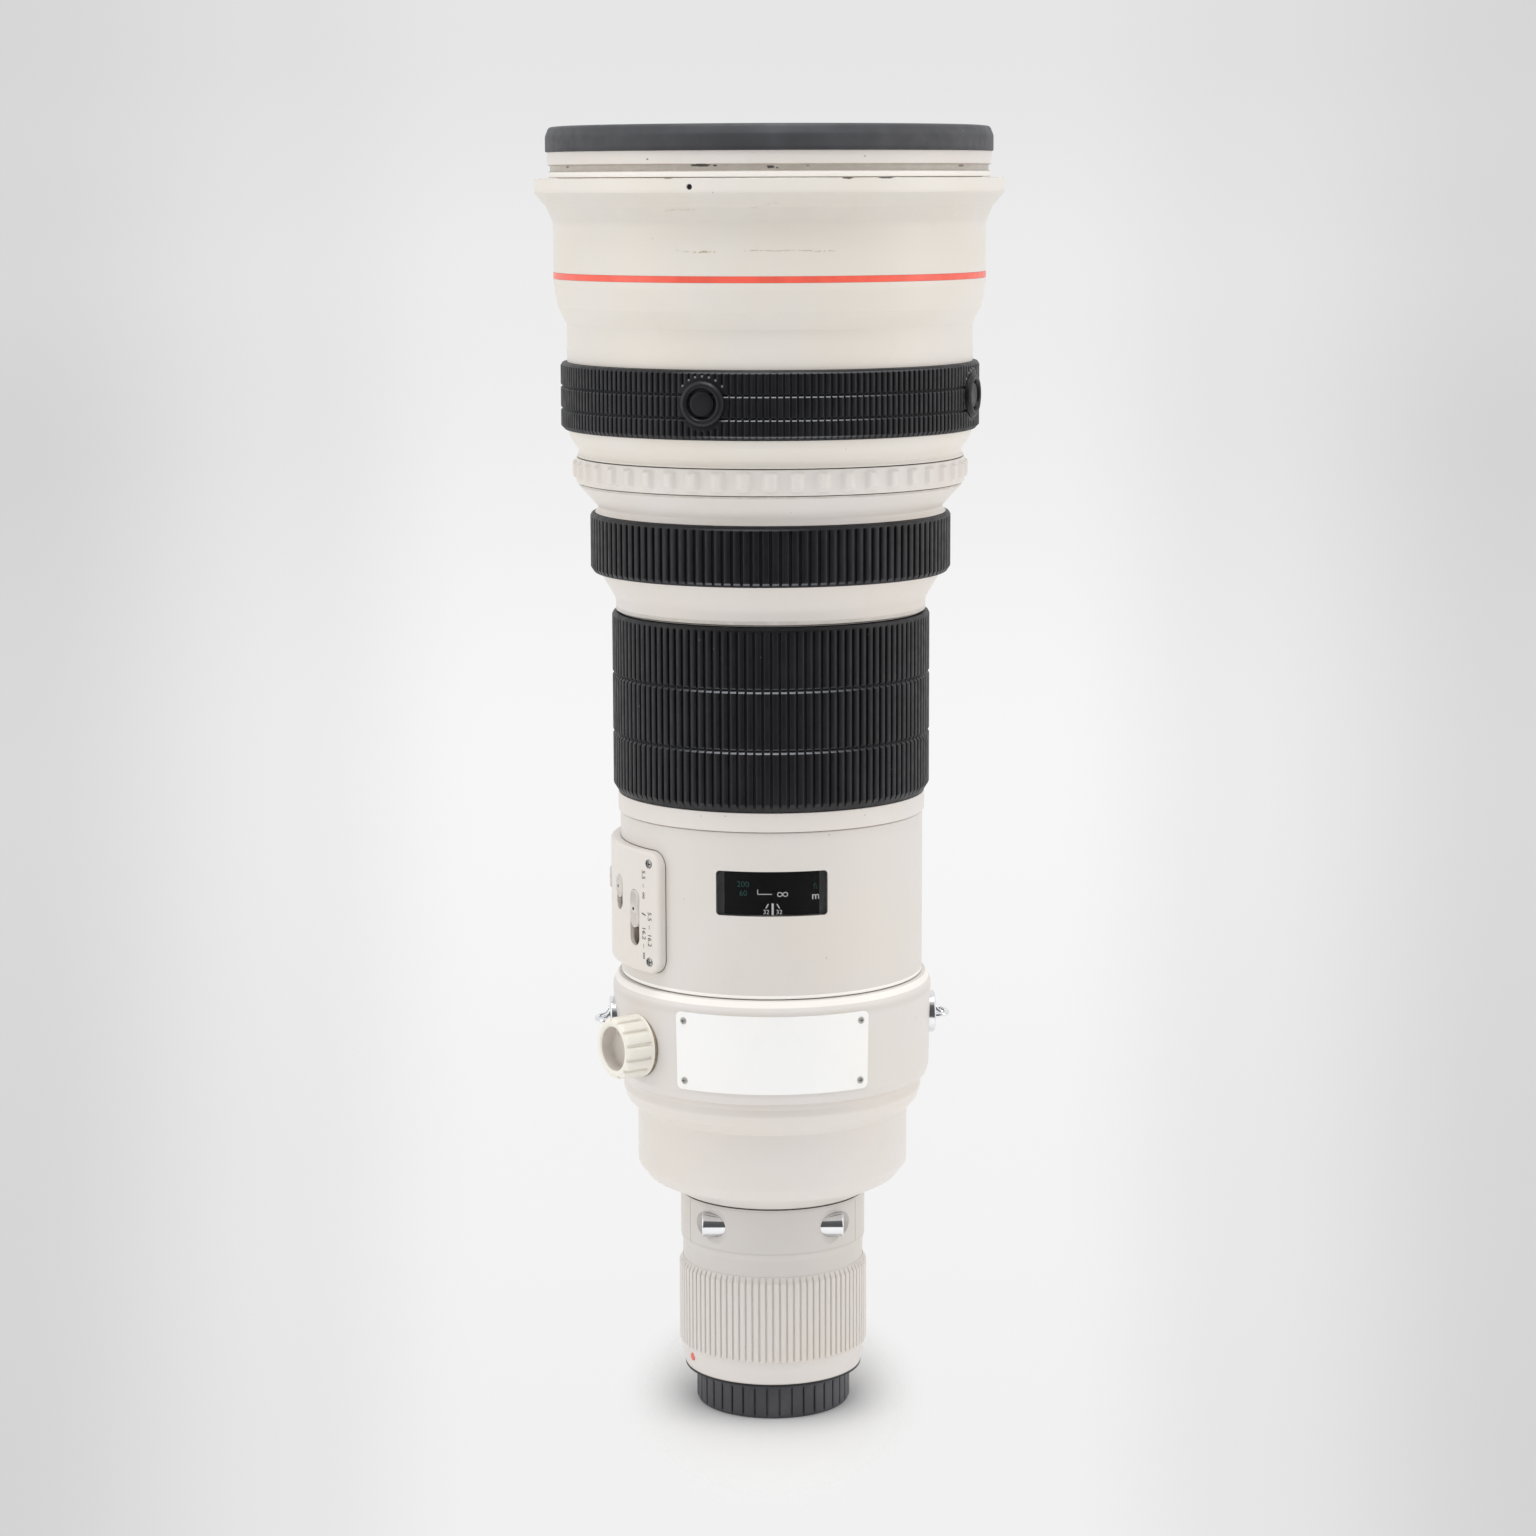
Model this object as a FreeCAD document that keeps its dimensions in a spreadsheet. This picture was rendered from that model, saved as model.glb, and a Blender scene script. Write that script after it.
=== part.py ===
import FreeCAD, Part
import math
import os
import re
import Sketcher
from FreeCAD import Placement, Rotation, Vector

# A super telephoto lens, standing on its rear cap with its optical axis along +Z.
# The origin is the centre of the cap's rest face. Azimuths are in degrees: 0 faces -Y,
# where the distance window and the nameplate are, and 90 faces +X. Sizes are in millimetres.

# Driving sizes
SIZES = {
    # lengths along the axis, from the cap up to the front rim
    "cap_length": 14.2,
    "running_gap": 0.3,
    "neck_foot_length": 8.7,
    "sleeve_length": 30.8,
    "neck_band_length": 9.0,
    "bay_length": 18.2,
    "seam_gap": 0.4,
    "rear_flare_length": 11.4,
    "rear_body_length": 20.5,
    "rear_step_length": 12.2,
    "collar_length": 38.0,
    "main_length": 60.0,
    "focus_length": 73.1,
    "cone_length": 14.0,
    "grip_length": 21.4,
    "curve_length": 10.6,
    "playback_length": 9.0,
    "front_foot_length": 9.9,
    "stop_length": 24.0,
    "waist_length": 13.5,
    "step_length": 14.0,
    "front_body_length": 22.0,
    "flare_length": 10.3,
    "flange_length": 5.0,
    "hood_gap": 0.2,
    "hood_seat_length": 9.0,
    "bumper_length": 9.0,
    # outer radii
    "cap_radius": 28.6,
    "gasket_radius": 32.8,
    "neck_foot_radius": 33.9,
    "sleeve_radius": 34.9,
    "neck_radius": 33.5,
    "bay_radius": 34.2,
    "rear_radius": 49.8,
    "rear_step_radius": 55.0,
    "collar_low_radius": 57.9,
    "collar_high_radius": 58.6,
    "main_radius": 55.3,
    "focus_rim_radius": 56.0,
    "focus_rubber_radius": 57.7,
    "cone_low_radius": 56.2,
    "cone_high_radius": 62.3,
    "grip_radius": 65.2,
    "curve_radius": 69.3,
    "playback_radius": 70.0,
    "playback_pad_radius": 71.4,
    "front_foot_radius": 73.0,
    "stop_radius": 75.3,
    "waist_radius": 72.9,
    "front_radius": 77.4,
    "flange_radius": 84.0,
    "hood_lip_radius": 79.0,
    "hood_groove_radius": 78.2,
    "hood_ring_radius": 79.2,
    "bumper_radius": 79.9,
    # walls and fits
    "shell_wall": 2.8,
    "rubber_wall": 2.6,
    "running_fit": 0.06,
    "edge_round": 0.5,
    # cap and bayonet
    "cap_wall": 1.4,
    "cap_floor": 1.8,
    "cap_groove_count": 45,
    "cap_groove_width": 1.3,
    "cap_groove_depth": 0.6,
    "bayonet_bore": 23.6,
    "bayonet_tube_wall": 1.8,
    "bayonet_lug_reach": 1.5,
    "bayonet_lug_length": 1.6,
    "bayonet_depth": 5.9,
    "bayonet_lug_angle": 54.0,
    "bayonet_count": 3,
    "mount_flange_radius": 31.0,
    "mount_flange_length": 2.4,
    "gasket_drop": 1.0,
    "mount_screw_count": 4,
    "mount_screw_circle": 28.4,
    "mount_screw_radius": 1.3,
    "mount_screw_length": 5.0,
    "contact_block_depth": 3.0,
    "contact_block_length": 6.0,
    "contact_block_angle": 70.0,
    "contact_pin_radius": 0.6,
    "contact_pin_reach": 0.5,
    "contact_pin_count": 9,
    "contact_pin_pitch": 7.0,
    "dot_azimuth": -62.0,
    "dot_radius": 1.5,
    "dot_reach": 0.5,
    # neck and its ribbed sleeve
    "sleeve_groove_count": 86,
    "sleeve_groove_width": 0.8,
    "sleeve_groove_depth": 0.5,
    "sleeve_lip_length": 1.0,
    "spigot_length": 10.8,
    "rear_lens_radius": 21.0,
    "rear_lens_length": 8.0,
    # drop-in filter
    "holder_half_width": 30.4,
    "holder_margin": 1.0,
    "tray_half_width": 27.0,
    "tray_length": 7.6,
    "holder_clearance": 0.06,
    "filter_radius": 24.0,
    "filter_length": 2.4,
    "filter_bore": 22.5,
    "filter_button_radius": 4.55,
    "filter_button_offset": 24.15,
    "filter_button_end": 25.9,
    "filter_button_length": 12.0,
    "filter_button_rise": 0.9,
    "scoop_radius": 16.0,
    "scoop_depth": 1.4,
    "scoop_azimuth": 38.5,
    # tripod collar
    "bearing_radius": 52.0,
    "knob_azimuth": -56.0,
    "knob_height": 16.7,
    "knob_seat": 57.4,
    "knob_radius": 11.2,
    "knob_reach": 12.2,
    "knob_flange_length": 1.3,
    "knob_hollow_radius": 7.95,
    "knob_hollow_depth": 5.2,
    "knob_flute_count": 13,
    "knob_flute_width": 2.0,
    "knob_flute_depth": 0.8,
    "knob_screw_radius": 2.5,
    "shoe_radius": 5.0,
    "shoe_length": 2.2,
    "shoe_travel": 0.8,
    "plate_angle": 71.0,
    "plate_bottom": 4.4,
    "plate_top": 32.8,
    "plate_thickness": 0.7,
    "plate_corner": 2.0,
    "plate_screw_azimuth": 32.4,
    "plate_screw_inset": 3.2,
    "plate_screw_radius": 1.0,
    "lug_left_azimuth": -84.0,
    "lug_right_azimuth": 92.0,
    "lug_height": 21.0,
    "lug_disc_radius": 8.0,
    "lug_disc_length": 2.5,
    "lug_loop_reach": 5.6,
    "lug_loop_radius": 6.6,
    "lug_loop_thickness": 2.6,
    "foot_width": 44.0,
    "foot_plate_length": 100.0,
    "foot_plate_thickness": 12.0,
    "foot_offset": 104.0,
    "foot_neck_width": 34.0,
    "foot_neck_length": 34.0,
    "foot_plate_drop": 20.0,
    "foot_edge_round": 4.0,
    "large_thread_radius": 4.7625,
    "small_thread_radius": 3.175,
    "thread_depth": 10.0,
    "thread_spacing": 40.0,
    # distance window and scale
    "window_angle": 42.0,
    "window_bottom": 30.0,
    "window_length": 16.1,
    "window_recess": 0.4,
    "pane_thickness": 1.5,
    "drum_wall": 1.4,
    "drum_gap": 0.8,
    "drum_length": 30.0,
    # switch panel
    "panel_azimuth": -81.8,
    "panel_angle": 77.0,
    "panel_bottom": 6.0,
    "panel_length": 44.4,
    "panel_thickness": 3.6,
    "panel_corner": 5.5,
    "panel_edge_round": 1.2,
    "panel_screw_angle": 33.5,
    "panel_screw_inset": 4.3,
    "panel_screw_radius": 1.4,
    "slot_width": 6.2,
    "slot_clearance": 0.15,
    "slider_reach": 1.3,
    "slider_base": 1.1,
    "slider_wing": 1.2,
    "range_azimuth": -57.0,
    "range_bottom": 15.0,
    "range_length": 20.6,
    "range_travel": 6.6,
    "mode_azimuth": -69.5,
    "mode_bottom": 26.1,
    "mode_length": 12.9,
    "mode_travel": 4.4,
    "stabiliser_azimuth": -88.0,
    "set_azimuth": -106.3,
    "set_height": 16.0,
    "set_radius": 3.0,
    "set_reach": 0.8,
    # rubber rings
    "focus_rim_length": 6.9,
    "rib_count": 120,
    "rib_groove_width": 1.2,
    "rib_groove_depth": 0.7,
    "vee_depth": 1.0,
    "vee_half_width": 1.0,
    "focus_vee_low": 28.9,
    "focus_vee_high": 50.4,
    "stop_rib_count": 200,
    "stop_groove_width": 0.8,
    "stop_groove_depth": 0.5,
    "stop_vee_low": 7.5,
    "stop_vee_high": 15.5,
    "stop_button_azimuth": -18.0,
    "stop_button_count": 4,
    "stop_button_height": 12.6,
    "stop_patch_radius": 9.2,
    "stop_boss_radius": 7.8,
    "stop_boss_reach": 1.4,
    "stop_hole_radius": 5.5,
    "stop_button_radius": 4.15,
    "stop_button_travel": 1.0,
    "playback_pad_count": 48,
    "playback_pad_width": 4.4,
    "playback_seat_wall": 2.5,
    # front barrel and glass
    "line_height": 17.3,
    "line_width": 2.3,
    "line_depth": 0.5,
    "flange_screw_azimuth": -18.8,
    "flange_screw_radius": 0.85,
    "flange_screw_count": 3,
    "flange_screw_length": 3.0,
    "glass_radius": 75.4,
    "glass_edge": 4.0,
    "glass_rise": 3.0,
    "ledge_width": 2.6,
    "front_lens_radius": 73.4,
    "front_lens_edge": 6.4,
    "front_lens_rise": 8.6,
    "front_lens_hollow": 3.6,
    # inside
    "tube_radius": 37.2,
    "tube_wall": 2.6,
    "stator_radius": 46.0,
    "stator_length": 11.0,
    "rotor_length": 4.5,
    "roller_radius": 2.7,
    "roller_pin_radius": 0.8,
    "roller_length": 3.0,
    "roller_count": 6,
    "roller_ring_length": 3.0,
    "cell_length": 26.0,
    "focus_lens_length": 12.0,
    "cell_wall": 4.5,
    "cell_height": 12.0,
    "key_slot_width": 4.0,
    "key_slot_length": 40.0,
    "key_count": 3,
    "iris_length": 10.0,
    "iris_bore": 24.0,
    "unit_length": 22.0,
    "unit_bore": 23.5,
    "unit_cavity_radius": 33.0,
    "carriage_radius": 31.0,
    "carriage_bore": 24.0,
    "carriage_thickness": 3.0,
    "stabiliser_lens_radius": 21.5,
    "stabiliser_frame_radius": 29.0,
    "layer_gap": 0.15,
    "board_thickness": 1.6,
    "rear_wall": 3.0,
}

# Places worked out from the driving sizes, from the cap up
PLACES = {
    "mount_face": "cap_length + running_gap",
    "sleeve_bottom": "mount_face + neck_foot_length",
    "sleeve_top": "sleeve_bottom + sleeve_length",
    "bay_bottom": "sleeve_top + neck_band_length",
    "neck_top": "bay_bottom + bay_length",
    "rear_bottom": "neck_top + seam_gap",
    "rear_shoulder": "rear_bottom + rear_flare_length",
    "rear_waist": "rear_shoulder + rear_body_length",
    "rear_step": "rear_waist + rear_step_length",
    "collar_bottom": "rear_step + running_gap",
    "collar_top": "collar_bottom + collar_length",
    "main_bottom": "collar_top + running_gap",
    "main_top": "main_bottom + main_length",
    "focus_bottom": "main_top + running_gap",
    "focus_top": "focus_bottom + focus_length",
    "mid_bottom": "focus_top + running_gap",
    "grip_bottom": "mid_bottom + cone_length",
    "grip_top": "grip_bottom + grip_length",
    "mid_shoulder": "grip_top + curve_length",
    "playback_bottom": "mid_shoulder + running_gap",
    "playback_top": "playback_bottom + playback_length",
    "front_bottom": "playback_top + running_gap",
    "stop_bottom": "front_bottom + front_foot_length",
    "stop_top": "stop_bottom + stop_length",
    "waist_top": "stop_top + waist_length",
    "body_bottom": "waist_top + step_length",
    "body_top": "body_bottom + front_body_length",
    "flange_bottom": "body_top + flare_length",
    "flange_top": "flange_bottom + flange_length",
    "hood_bottom": "flange_top + hood_gap",
    "hood_top": "hood_bottom + hood_seat_length",
    "front_rim": "hood_top + bumper_length",
    # radii that follow from a neighbour
    "tube_bore": "tube_radius - tube_wall",
    "bayonet_tube_radius": "bayonet_bore + bayonet_tube_wall",
    "bayonet_lug_radius": "bayonet_tube_radius + bayonet_lug_reach",
    "collar_bore": "bearing_radius + running_fit",
    "spigot_radius": "bay_radius - shell_wall + 0.8",
    "spigot_bore": "spigot_radius - shell_wall",
    "rear_bore": "rear_radius - rear_wall",
    "unit_radius": "bearing_radius - rear_wall",
    "main_bore": "main_radius - shell_wall",
    "main_spigot_radius": "main_bore - 1.1",
    "skirt_radius": "sleeve_bore - running_fit",
    "sleeve_bore": "focus_seat_radius - 1.8",
    "focus_seat_radius": "focus_rubber_radius - rubber_wall",
    "grip_seat_radius": "grip_radius - rubber_wall - 0.6",
    "stop_seat_radius": "stop_radius - rubber_wall - 0.1",
    "playback_seat_radius": "playback_radius - playback_seat_wall - running_fit",
    "front_spigot_radius": "playback_seat_radius - 1.0",
    "hood_spigot_radius": "glass_radius + 0.6",
    "drum_radius": "main_bore - drum_gap",
    "cell_radius": "tube_bore - running_fit",
    # heights inside
    "bayonet_bottom": "mount_face - bayonet_depth",
    "bayonet_lug_top": "bayonet_bottom + bayonet_lug_length",
    "mount_back": "mount_face + mount_flange_length",
    "rear_lens_top": "mount_back + rear_lens_length",
    "bay_ledge_top": "holder_bottom - holder_clearance",
    "holder_bottom": "bay_bottom + holder_margin",
    "holder_top": "neck_top - holder_margin",
    "filter_button_level": "(holder_bottom + holder_top) / 2 + filter_button_rise",
    "spigot_top": "neck_top + spigot_length",
    "iris_bottom": "rear_shoulder + 2",
    "unit_bottom": "rear_waist + 10.5",
    "tube_bottom": "main_bottom + 1.7",
    "tube_floor_top": "tube_bottom + 4",
    "main_spigot_top": "main_bottom + 7.7",
    "rotor_bottom": "rotor_top - rotor_length",
    "rotor_top": "roller_height - roller_radius - layer_gap",
    "roller_height": "focus_bottom - roller_radius - layer_gap",
    "roller_ring_bottom": "roller_height - roller_ring_length / 2",
    "roller_ring_top": "roller_height + roller_ring_length / 2",
    "stator_bottom": "rotor_bottom - running_gap - stator_length",
    "focus_flange_top": "focus_bottom + 3.4",
    "cell_bottom": "focus_bottom + cell_height",
    "tube_top": "grip_bottom - 2",
    "mid_flange_bottom": "tube_top - 5",
    "skirt_bottom": "mid_bottom - 12",
    "glass_bottom": "hood_bottom + 1.9",
    "glass_edge_top": "glass_bottom + glass_edge",
    "lens_ledge": "body_bottom + 9.6",
    "hood_spigot_bottom": "hood_bottom - 6",
    "knob_level": "collar_bottom + knob_height",
    "lug_level": "collar_bottom + lug_height",
    "foot_level": "collar_bottom + collar_length / 2",
    "foot_plate_bottom": "foot_level - foot_plate_length / 2 + foot_plate_drop / 2",
    "foot_plate_inner": "foot_offset - foot_plate_thickness",
    "panel_low": "main_bottom + panel_bottom",
    "panel_high": "panel_low + panel_length",
    "panel_radius": "main_radius + panel_thickness",
    "window_low": "main_bottom + window_bottom",
    "window_high": "window_low + window_length",
    "stop_button_level": "stop_bottom + stop_button_height",
    "line_bottom": "body_top - line_height - line_width / 2 - 1.5",
    "line_top": "line_bottom + line_width",
    "drum_bottom": "drum_top - drum_length",
    "drum_top": "roller_ring_bottom",
}

document = FreeCAD.newDocument("telephoto_lens")
sizes_sheet = document.addObject("Spreadsheet::Sheet", "Sizes")
places_sheet = document.addObject("Spreadsheet::Sheet", "Places")
WORD = re.compile(r"[a-z][a-z0-9_]*")
DOME = "dome"
FULL_TURN = 360.0


def bound(formula, inside_places=False):
    """The formula with each size and place named by its sheet."""
    def full_name(match):
        word = match.group(0)
        if word in SIZES:
            return "Sizes." + word
        if word in PLACES and not inside_places:
            return "Places." + word
        return word
    return WORD.sub(full_name, str(formula))


def fill_sheets():
    """Writes the driving sizes, and then the places that follow from them."""
    for row, (name, value) in enumerate(SIZES.items(), start=1):
        sizes_sheet.set("A%d" % row, name)
        sizes_sheet.set("B%d" % row, str(value))
        sizes_sheet.setAlias("B%d" % row, name)
    for row, (name, formula) in enumerate(PLACES.items(), start=1):
        places_sheet.set("A%d" % row, name)
        places_sheet.setAlias("B%d" % row, name)
    for row, (name, formula) in enumerate(PLACES.items(), start=1):
        places_sheet.set("B%d" % row, "=" + bound(formula, inside_places=True))
    document.recompute()


def number(formula):
    """The value of a formula, as a plain number."""
    return float(sizes_sheet.evalExpression(bound(formula)))


def origin_plane(body, role):
    """One of a body's own origin planes or axes."""
    for feature in body.Origin.OriginFeatures:
        if feature.Role == role:
            return feature
    raise ValueError(role)


def dome_arc(start, end):
    """The arc from start to end whose centre lies on the axis."""
    centre = (end.x ** 2 + end.y ** 2 - start.x ** 2 - start.y ** 2) / (2 * (end.y - start.y))
    reach = math.hypot(start.x, start.y - centre)
    first = math.atan2(start.y - centre, start.x)
    last = math.atan2(end.y - centre, end.x)
    middle = (first + last) / 2
    through = Vector(reach * math.cos(middle), centre + reach * math.sin(middle), 0)
    return Part.Arc(start, through, end)


def nearest_end(sketch, index, spot):
    """Which end of a drawn edge lies at a spot: 1 is its start and 2 its end."""
    start = sketch.getPoint(index, 1)
    end = sketch.getPoint(index, 2)
    return 1 if (start - spot).Length < (end - spot).Length else 2


def fix_point(sketch, index, end, corner):
    """Ties a drawn point to the formulas of its corner."""
    for kind, formula in zip(("DistanceX", "DistanceY"), corner):
        value = number(formula)
        if abs(value) < 1e-9:
            axis = -2 if kind == "DistanceX" else -1
            sketch.addConstraint(Sketcher.Constraint("PointOnObject", index, end, axis))
        else:
            made = sketch.addConstraint(Sketcher.Constraint(kind, -1, 1, index, end, value))
            sketch.setExpression("Constraints[%d]" % made, bound(formula))


def draw(body, name, role, corners, lift=None):
    """A closed outline on one of the body's planes.

    A corner is (across, up), with a third entry for a round's radius, or DOME where an arc about
    the axis leads on to the next corner.
    """
    sketch = body.newObject("Sketcher::SketchObject", name)
    sketch.AttachmentSupport = [(origin_plane(body, role), "")]
    sketch.MapMode = "FlatFace"
    if lift is not None:
        sketch.setExpression("AttachmentOffset.Base.z", bound(lift))
    count = len(corners)
    spots = [Vector(number(corner[0]), number(corner[1]), 0) for corner in corners]
    rounds = [corner[2] if len(corner) > 2 and corner[2] != DOME else None for corner in corners]
    leaving = list(spots)
    arriving = list(spots)
    for i in range(count):
        if rounds[i] is None:
            continue
        back = (spots[i - 1] - spots[i]).normalize()
        onward = (spots[(i + 1) % count] - spots[i]).normalize()
        half_angle = back.getAngle(onward) / 2
        trim = number(rounds[i]) / math.tan(half_angle)
        arriving[i] = spots[i] + back * trim
        leaving[i] = spots[i] + onward * trim
    edges = []
    for i in range(count):
        after = (i + 1) % count
        if len(corners[i]) > 2 and corners[i][2] == DOME:
            curve = dome_arc(spots[i], spots[after])
        else:
            curve = Part.LineSegment(leaving[i], arriving[after])
        edges.append(sketch.addGeometry(curve, False))
    for i in range(count):
        before = edges[i - 1]
        onto = edges[i]
        if rounds[i] is None:
            end = nearest_end(sketch, onto, spots[i])
            other = nearest_end(sketch, before, spots[i])
            sketch.addConstraint(Sketcher.Constraint("Coincident", before, other, onto, end))
            fix_point(sketch, onto, end, corners[i])
        else:
            round_corner(sketch, before, onto, spots[i], arriving[i], leaving[i], corners[i])
        if len(corners[i]) > 2 and corners[i][2] == DOME:
            sketch.addConstraint(Sketcher.Constraint("PointOnObject", onto, 3, -2))
    return sketch


def round_corner(sketch, before, onto, spot, arrive, leave, corner):
    """Joins two edges with a tangent arc whose radius is the corner's third entry."""
    radius = number(corner[2])
    towards = ((arrive + leave) * 0.5 - spot).normalize()
    centre_distance = math.hypot(radius, (arrive - spot).Length)
    middle = spot + towards * (centre_distance - radius)
    arc = sketch.addGeometry(Part.Arc(arrive, middle, leave), False)
    mark = sketch.addGeometry(Part.Point(spot), True)
    fix_point(sketch, mark, 1, corner)
    sketch.addConstraint(Sketcher.Constraint("PointOnObject", mark, 1, before))
    sketch.addConstraint(Sketcher.Constraint("PointOnObject", mark, 1, onto))
    for edge, place in ((before, arrive), (onto, leave)):
        edge_end = nearest_end(sketch, edge, place)
        arc_end = nearest_end(sketch, arc, place)
        sketch.addConstraint(Sketcher.Constraint("Tangent", edge, edge_end, arc, arc_end))
    made = sketch.addConstraint(Sketcher.Constraint("Radius", arc, radius))
    sketch.setExpression("Constraints[%d]" % made, bound(corner[2]))


def turned(label, corners, sweep=None):
    """A body turned about the axis, or through a sweep either side of +X."""
    body = document.addObject("PartDesign::Body", label)
    outline = draw(body, label + "_outline", "XZ_Plane", corners)
    turn = body.newObject("PartDesign::Revolution", label + "_turn")
    turn.Profile = outline
    turn.ReferenceAxis = (outline, ["V_Axis"])
    if sweep is None:
        turn.Angle = FULL_TURN
    else:
        turn.Midplane = True
        turn.setExpression("Angle", bound(sweep))
    document.recompute()
    return body


def ring(label, bore, radius, bottom, top, sweep=None):
    """A plain ring or sector of rectangular section."""
    corners = [(bore, bottom), (radius, bottom), (radius, top), (bore, top)]
    return turned(label, corners, sweep)


def patterned(body, feature, count):
    """Repeats a feature about the body's own axis and makes the pattern the body's tip."""
    pattern = body.newObject("PartDesign::PolarPattern", feature.Name + "_pattern")
    pattern.Originals = [feature]
    pattern.Axis = (origin_plane(body, "Z_Axis"), "")
    pattern.Angle = FULL_TURN
    pattern.setExpression("Occurrences", bound(count))
    body.Tip = pattern
    document.recompute()


def grooved(body, label, count, width, floor, outer, bottom, length):
    """Cuts evenly spaced grooves along the axis into a turned body, and checks that they cut."""
    before = body.Shape.Volume
    half = "(%s) / 2" % width
    corners = [(floor, "-" + half), (outer + " + 1", "-" + half), (outer + " + 1", half), (floor, half)]
    outline = draw(body, label + "_outline", "XY_Plane", corners, lift=bottom)
    groove = body.newObject("PartDesign::Pocket", label)
    groove.Profile = outline
    groove.Type = "Length"
    groove.Reversed = True
    groove.setExpression("Length", bound(length))
    document.recompute()
    patterned(body, groove, count)
    if body.Shape.Volume >= before:
        raise RuntimeError(label + " cuts nothing")


def groove_cutter(name, count, width, floor, bottom, length, spared=None):
    """One solid for each groove between the many fine ribs of a grip, less the places spared."""
    depth = 2.0
    tooth = Part.makeBox(depth, number(width), number(length),
                         Vector(number(floor), -number(width) / 2, number(bottom)))
    teeth = []
    for i in range(int(number(count))):
        copy = tooth.copy()
        copy.rotate(Vector(0, 0, 0), Vector(0, 0, 1), i * FULL_TURN / number(count))
        teeth.append(copy)
    shape = Part.makeCompound(teeth)
    if spared:
        shape = shape.cut([thing.Shape for thing in spared])
    cutter = document.addObject("Part::Feature", name)
    cutter.Shape = shape
    return cutter


def padded(body, label, count, width, floor, outer, bottom, length):
    """Adds evenly spaced raised pads along the axis to a turned body."""
    half = "(%s) / 2" % width
    corners = [(floor, "-" + half), (outer, "-" + half), (outer, half), (floor, half)]
    outline = draw(body, label + "_outline", "XY_Plane", corners, lift=bottom)
    pad = body.newObject("PartDesign::Pad", label)
    pad.Profile = outline
    pad.setExpression("Length", bound(length))
    document.recompute()
    patterned(body, pad, count)


def lugged(body, label, count, inner, outer, bottom, top, sweep):
    """Adds evenly spaced lugs, each a short sector, to a turned body."""
    corners = [(inner, bottom), (outer, bottom), (outer, top), (inner, top)]
    outline = draw(body, label + "_outline", "XZ_Plane", corners)
    lug = body.newObject("PartDesign::Revolution", label)
    lug.Profile = outline
    lug.ReferenceAxis = (outline, ["V_Axis"])
    lug.Midplane = True
    lug.setExpression("Angle", bound(sweep))
    document.recompute()
    patterned(body, lug, count)


def softened(body, label, radius, chosen):
    """Rounds the chosen edges of a body. chosen takes an edge and says yes or no."""
    names = ["Edge%d" % (i + 1) for i, edge in enumerate(body.Shape.Edges) if chosen(edge)]
    last = body.Tip
    fillet = body.newObject("PartDesign::Fillet", label)
    fillet.Base = (last, names)
    fillet.setExpression("Radius", bound(radius))
    body.Tip = fillet
    document.recompute()


def facing(azimuth):
    """The turn about the axis that carries +X round to an azimuth."""
    return Rotation(Vector(0, 0, 1), azimuth - 90.0)


def outward(azimuth, distance, height):
    """A placement at a distance from the axis, with its own +Z pointing away from the axis."""
    turn = facing(azimuth)
    spot = turn.multVec(Vector(distance, 0, height))
    return Placement(spot, turn.multiply(Rotation(Vector(0, 1, 0), 90.0)))


def rod(name, radius, length):
    """A plain cylinder whose radius and length follow the sheet."""
    made = document.addObject("Part::Cylinder", name)
    made.setExpression("Radius", bound(radius))
    made.setExpression("Height", bound(length))
    return made


def block(name, depth, width, length, near, bottom, azimuth):
    """A box set square to an azimuth: depth outward, width across, length along the axis."""
    made = document.addObject("Part::Box", name)
    made.setExpression("Length", bound(depth))
    made.setExpression("Width", bound(width))
    made.setExpression("Height", bound(length))
    turn = facing(azimuth)
    spot = turn.multVec(Vector(number(near), -number(width) / 2, number(bottom)))
    made.Placement = Placement(spot, turn)
    return made


def cut(label, base, tools):
    """The base less its tools, with a check that they cut."""
    tool = tools[0] if len(tools) == 1 else joined(label + "_tools", tools)
    made = document.addObject("Part::Cut", label)
    made.Base = base
    made.Tool = tool
    document.recompute()
    if made.Shape.Volume >= base.Shape.Volume:
        raise RuntimeError(label + " cuts nothing")
    return made


def joined(label, pieces):
    """Several solids made one where they touch."""
    made = document.addObject("Part::MultiFuse", label)
    made.Shapes = pieces
    made.Refine = True
    document.recompute()
    return made


def gathered(label, pieces):
    """Identical separate solids kept together in one sub-part."""
    made = document.addObject("Part::Compound", label)
    made.Links = pieces
    document.recompute()
    return made


# Front rim, hood seat and glass
def make_front_bumper():
    corners = [
        ("glass_radius", "hood_top"),
        ("bumper_radius", "hood_top", "edge_round"),
        ("bumper_radius", "front_rim", "bumper_length / 3"),
        ("glass_radius - 0.4", "front_rim", "edge_round * 2"),
        ("glass_radius - 0.4", "hood_top + 2"),
        ("glass_radius - 1.8", "hood_top + 1"),
        ("glass_radius - 1.8", "glass_edge_top + running_gap"),
        ("glass_radius", "glass_edge_top + running_gap"),
    ]
    return turned("front_bumper", corners)


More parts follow.
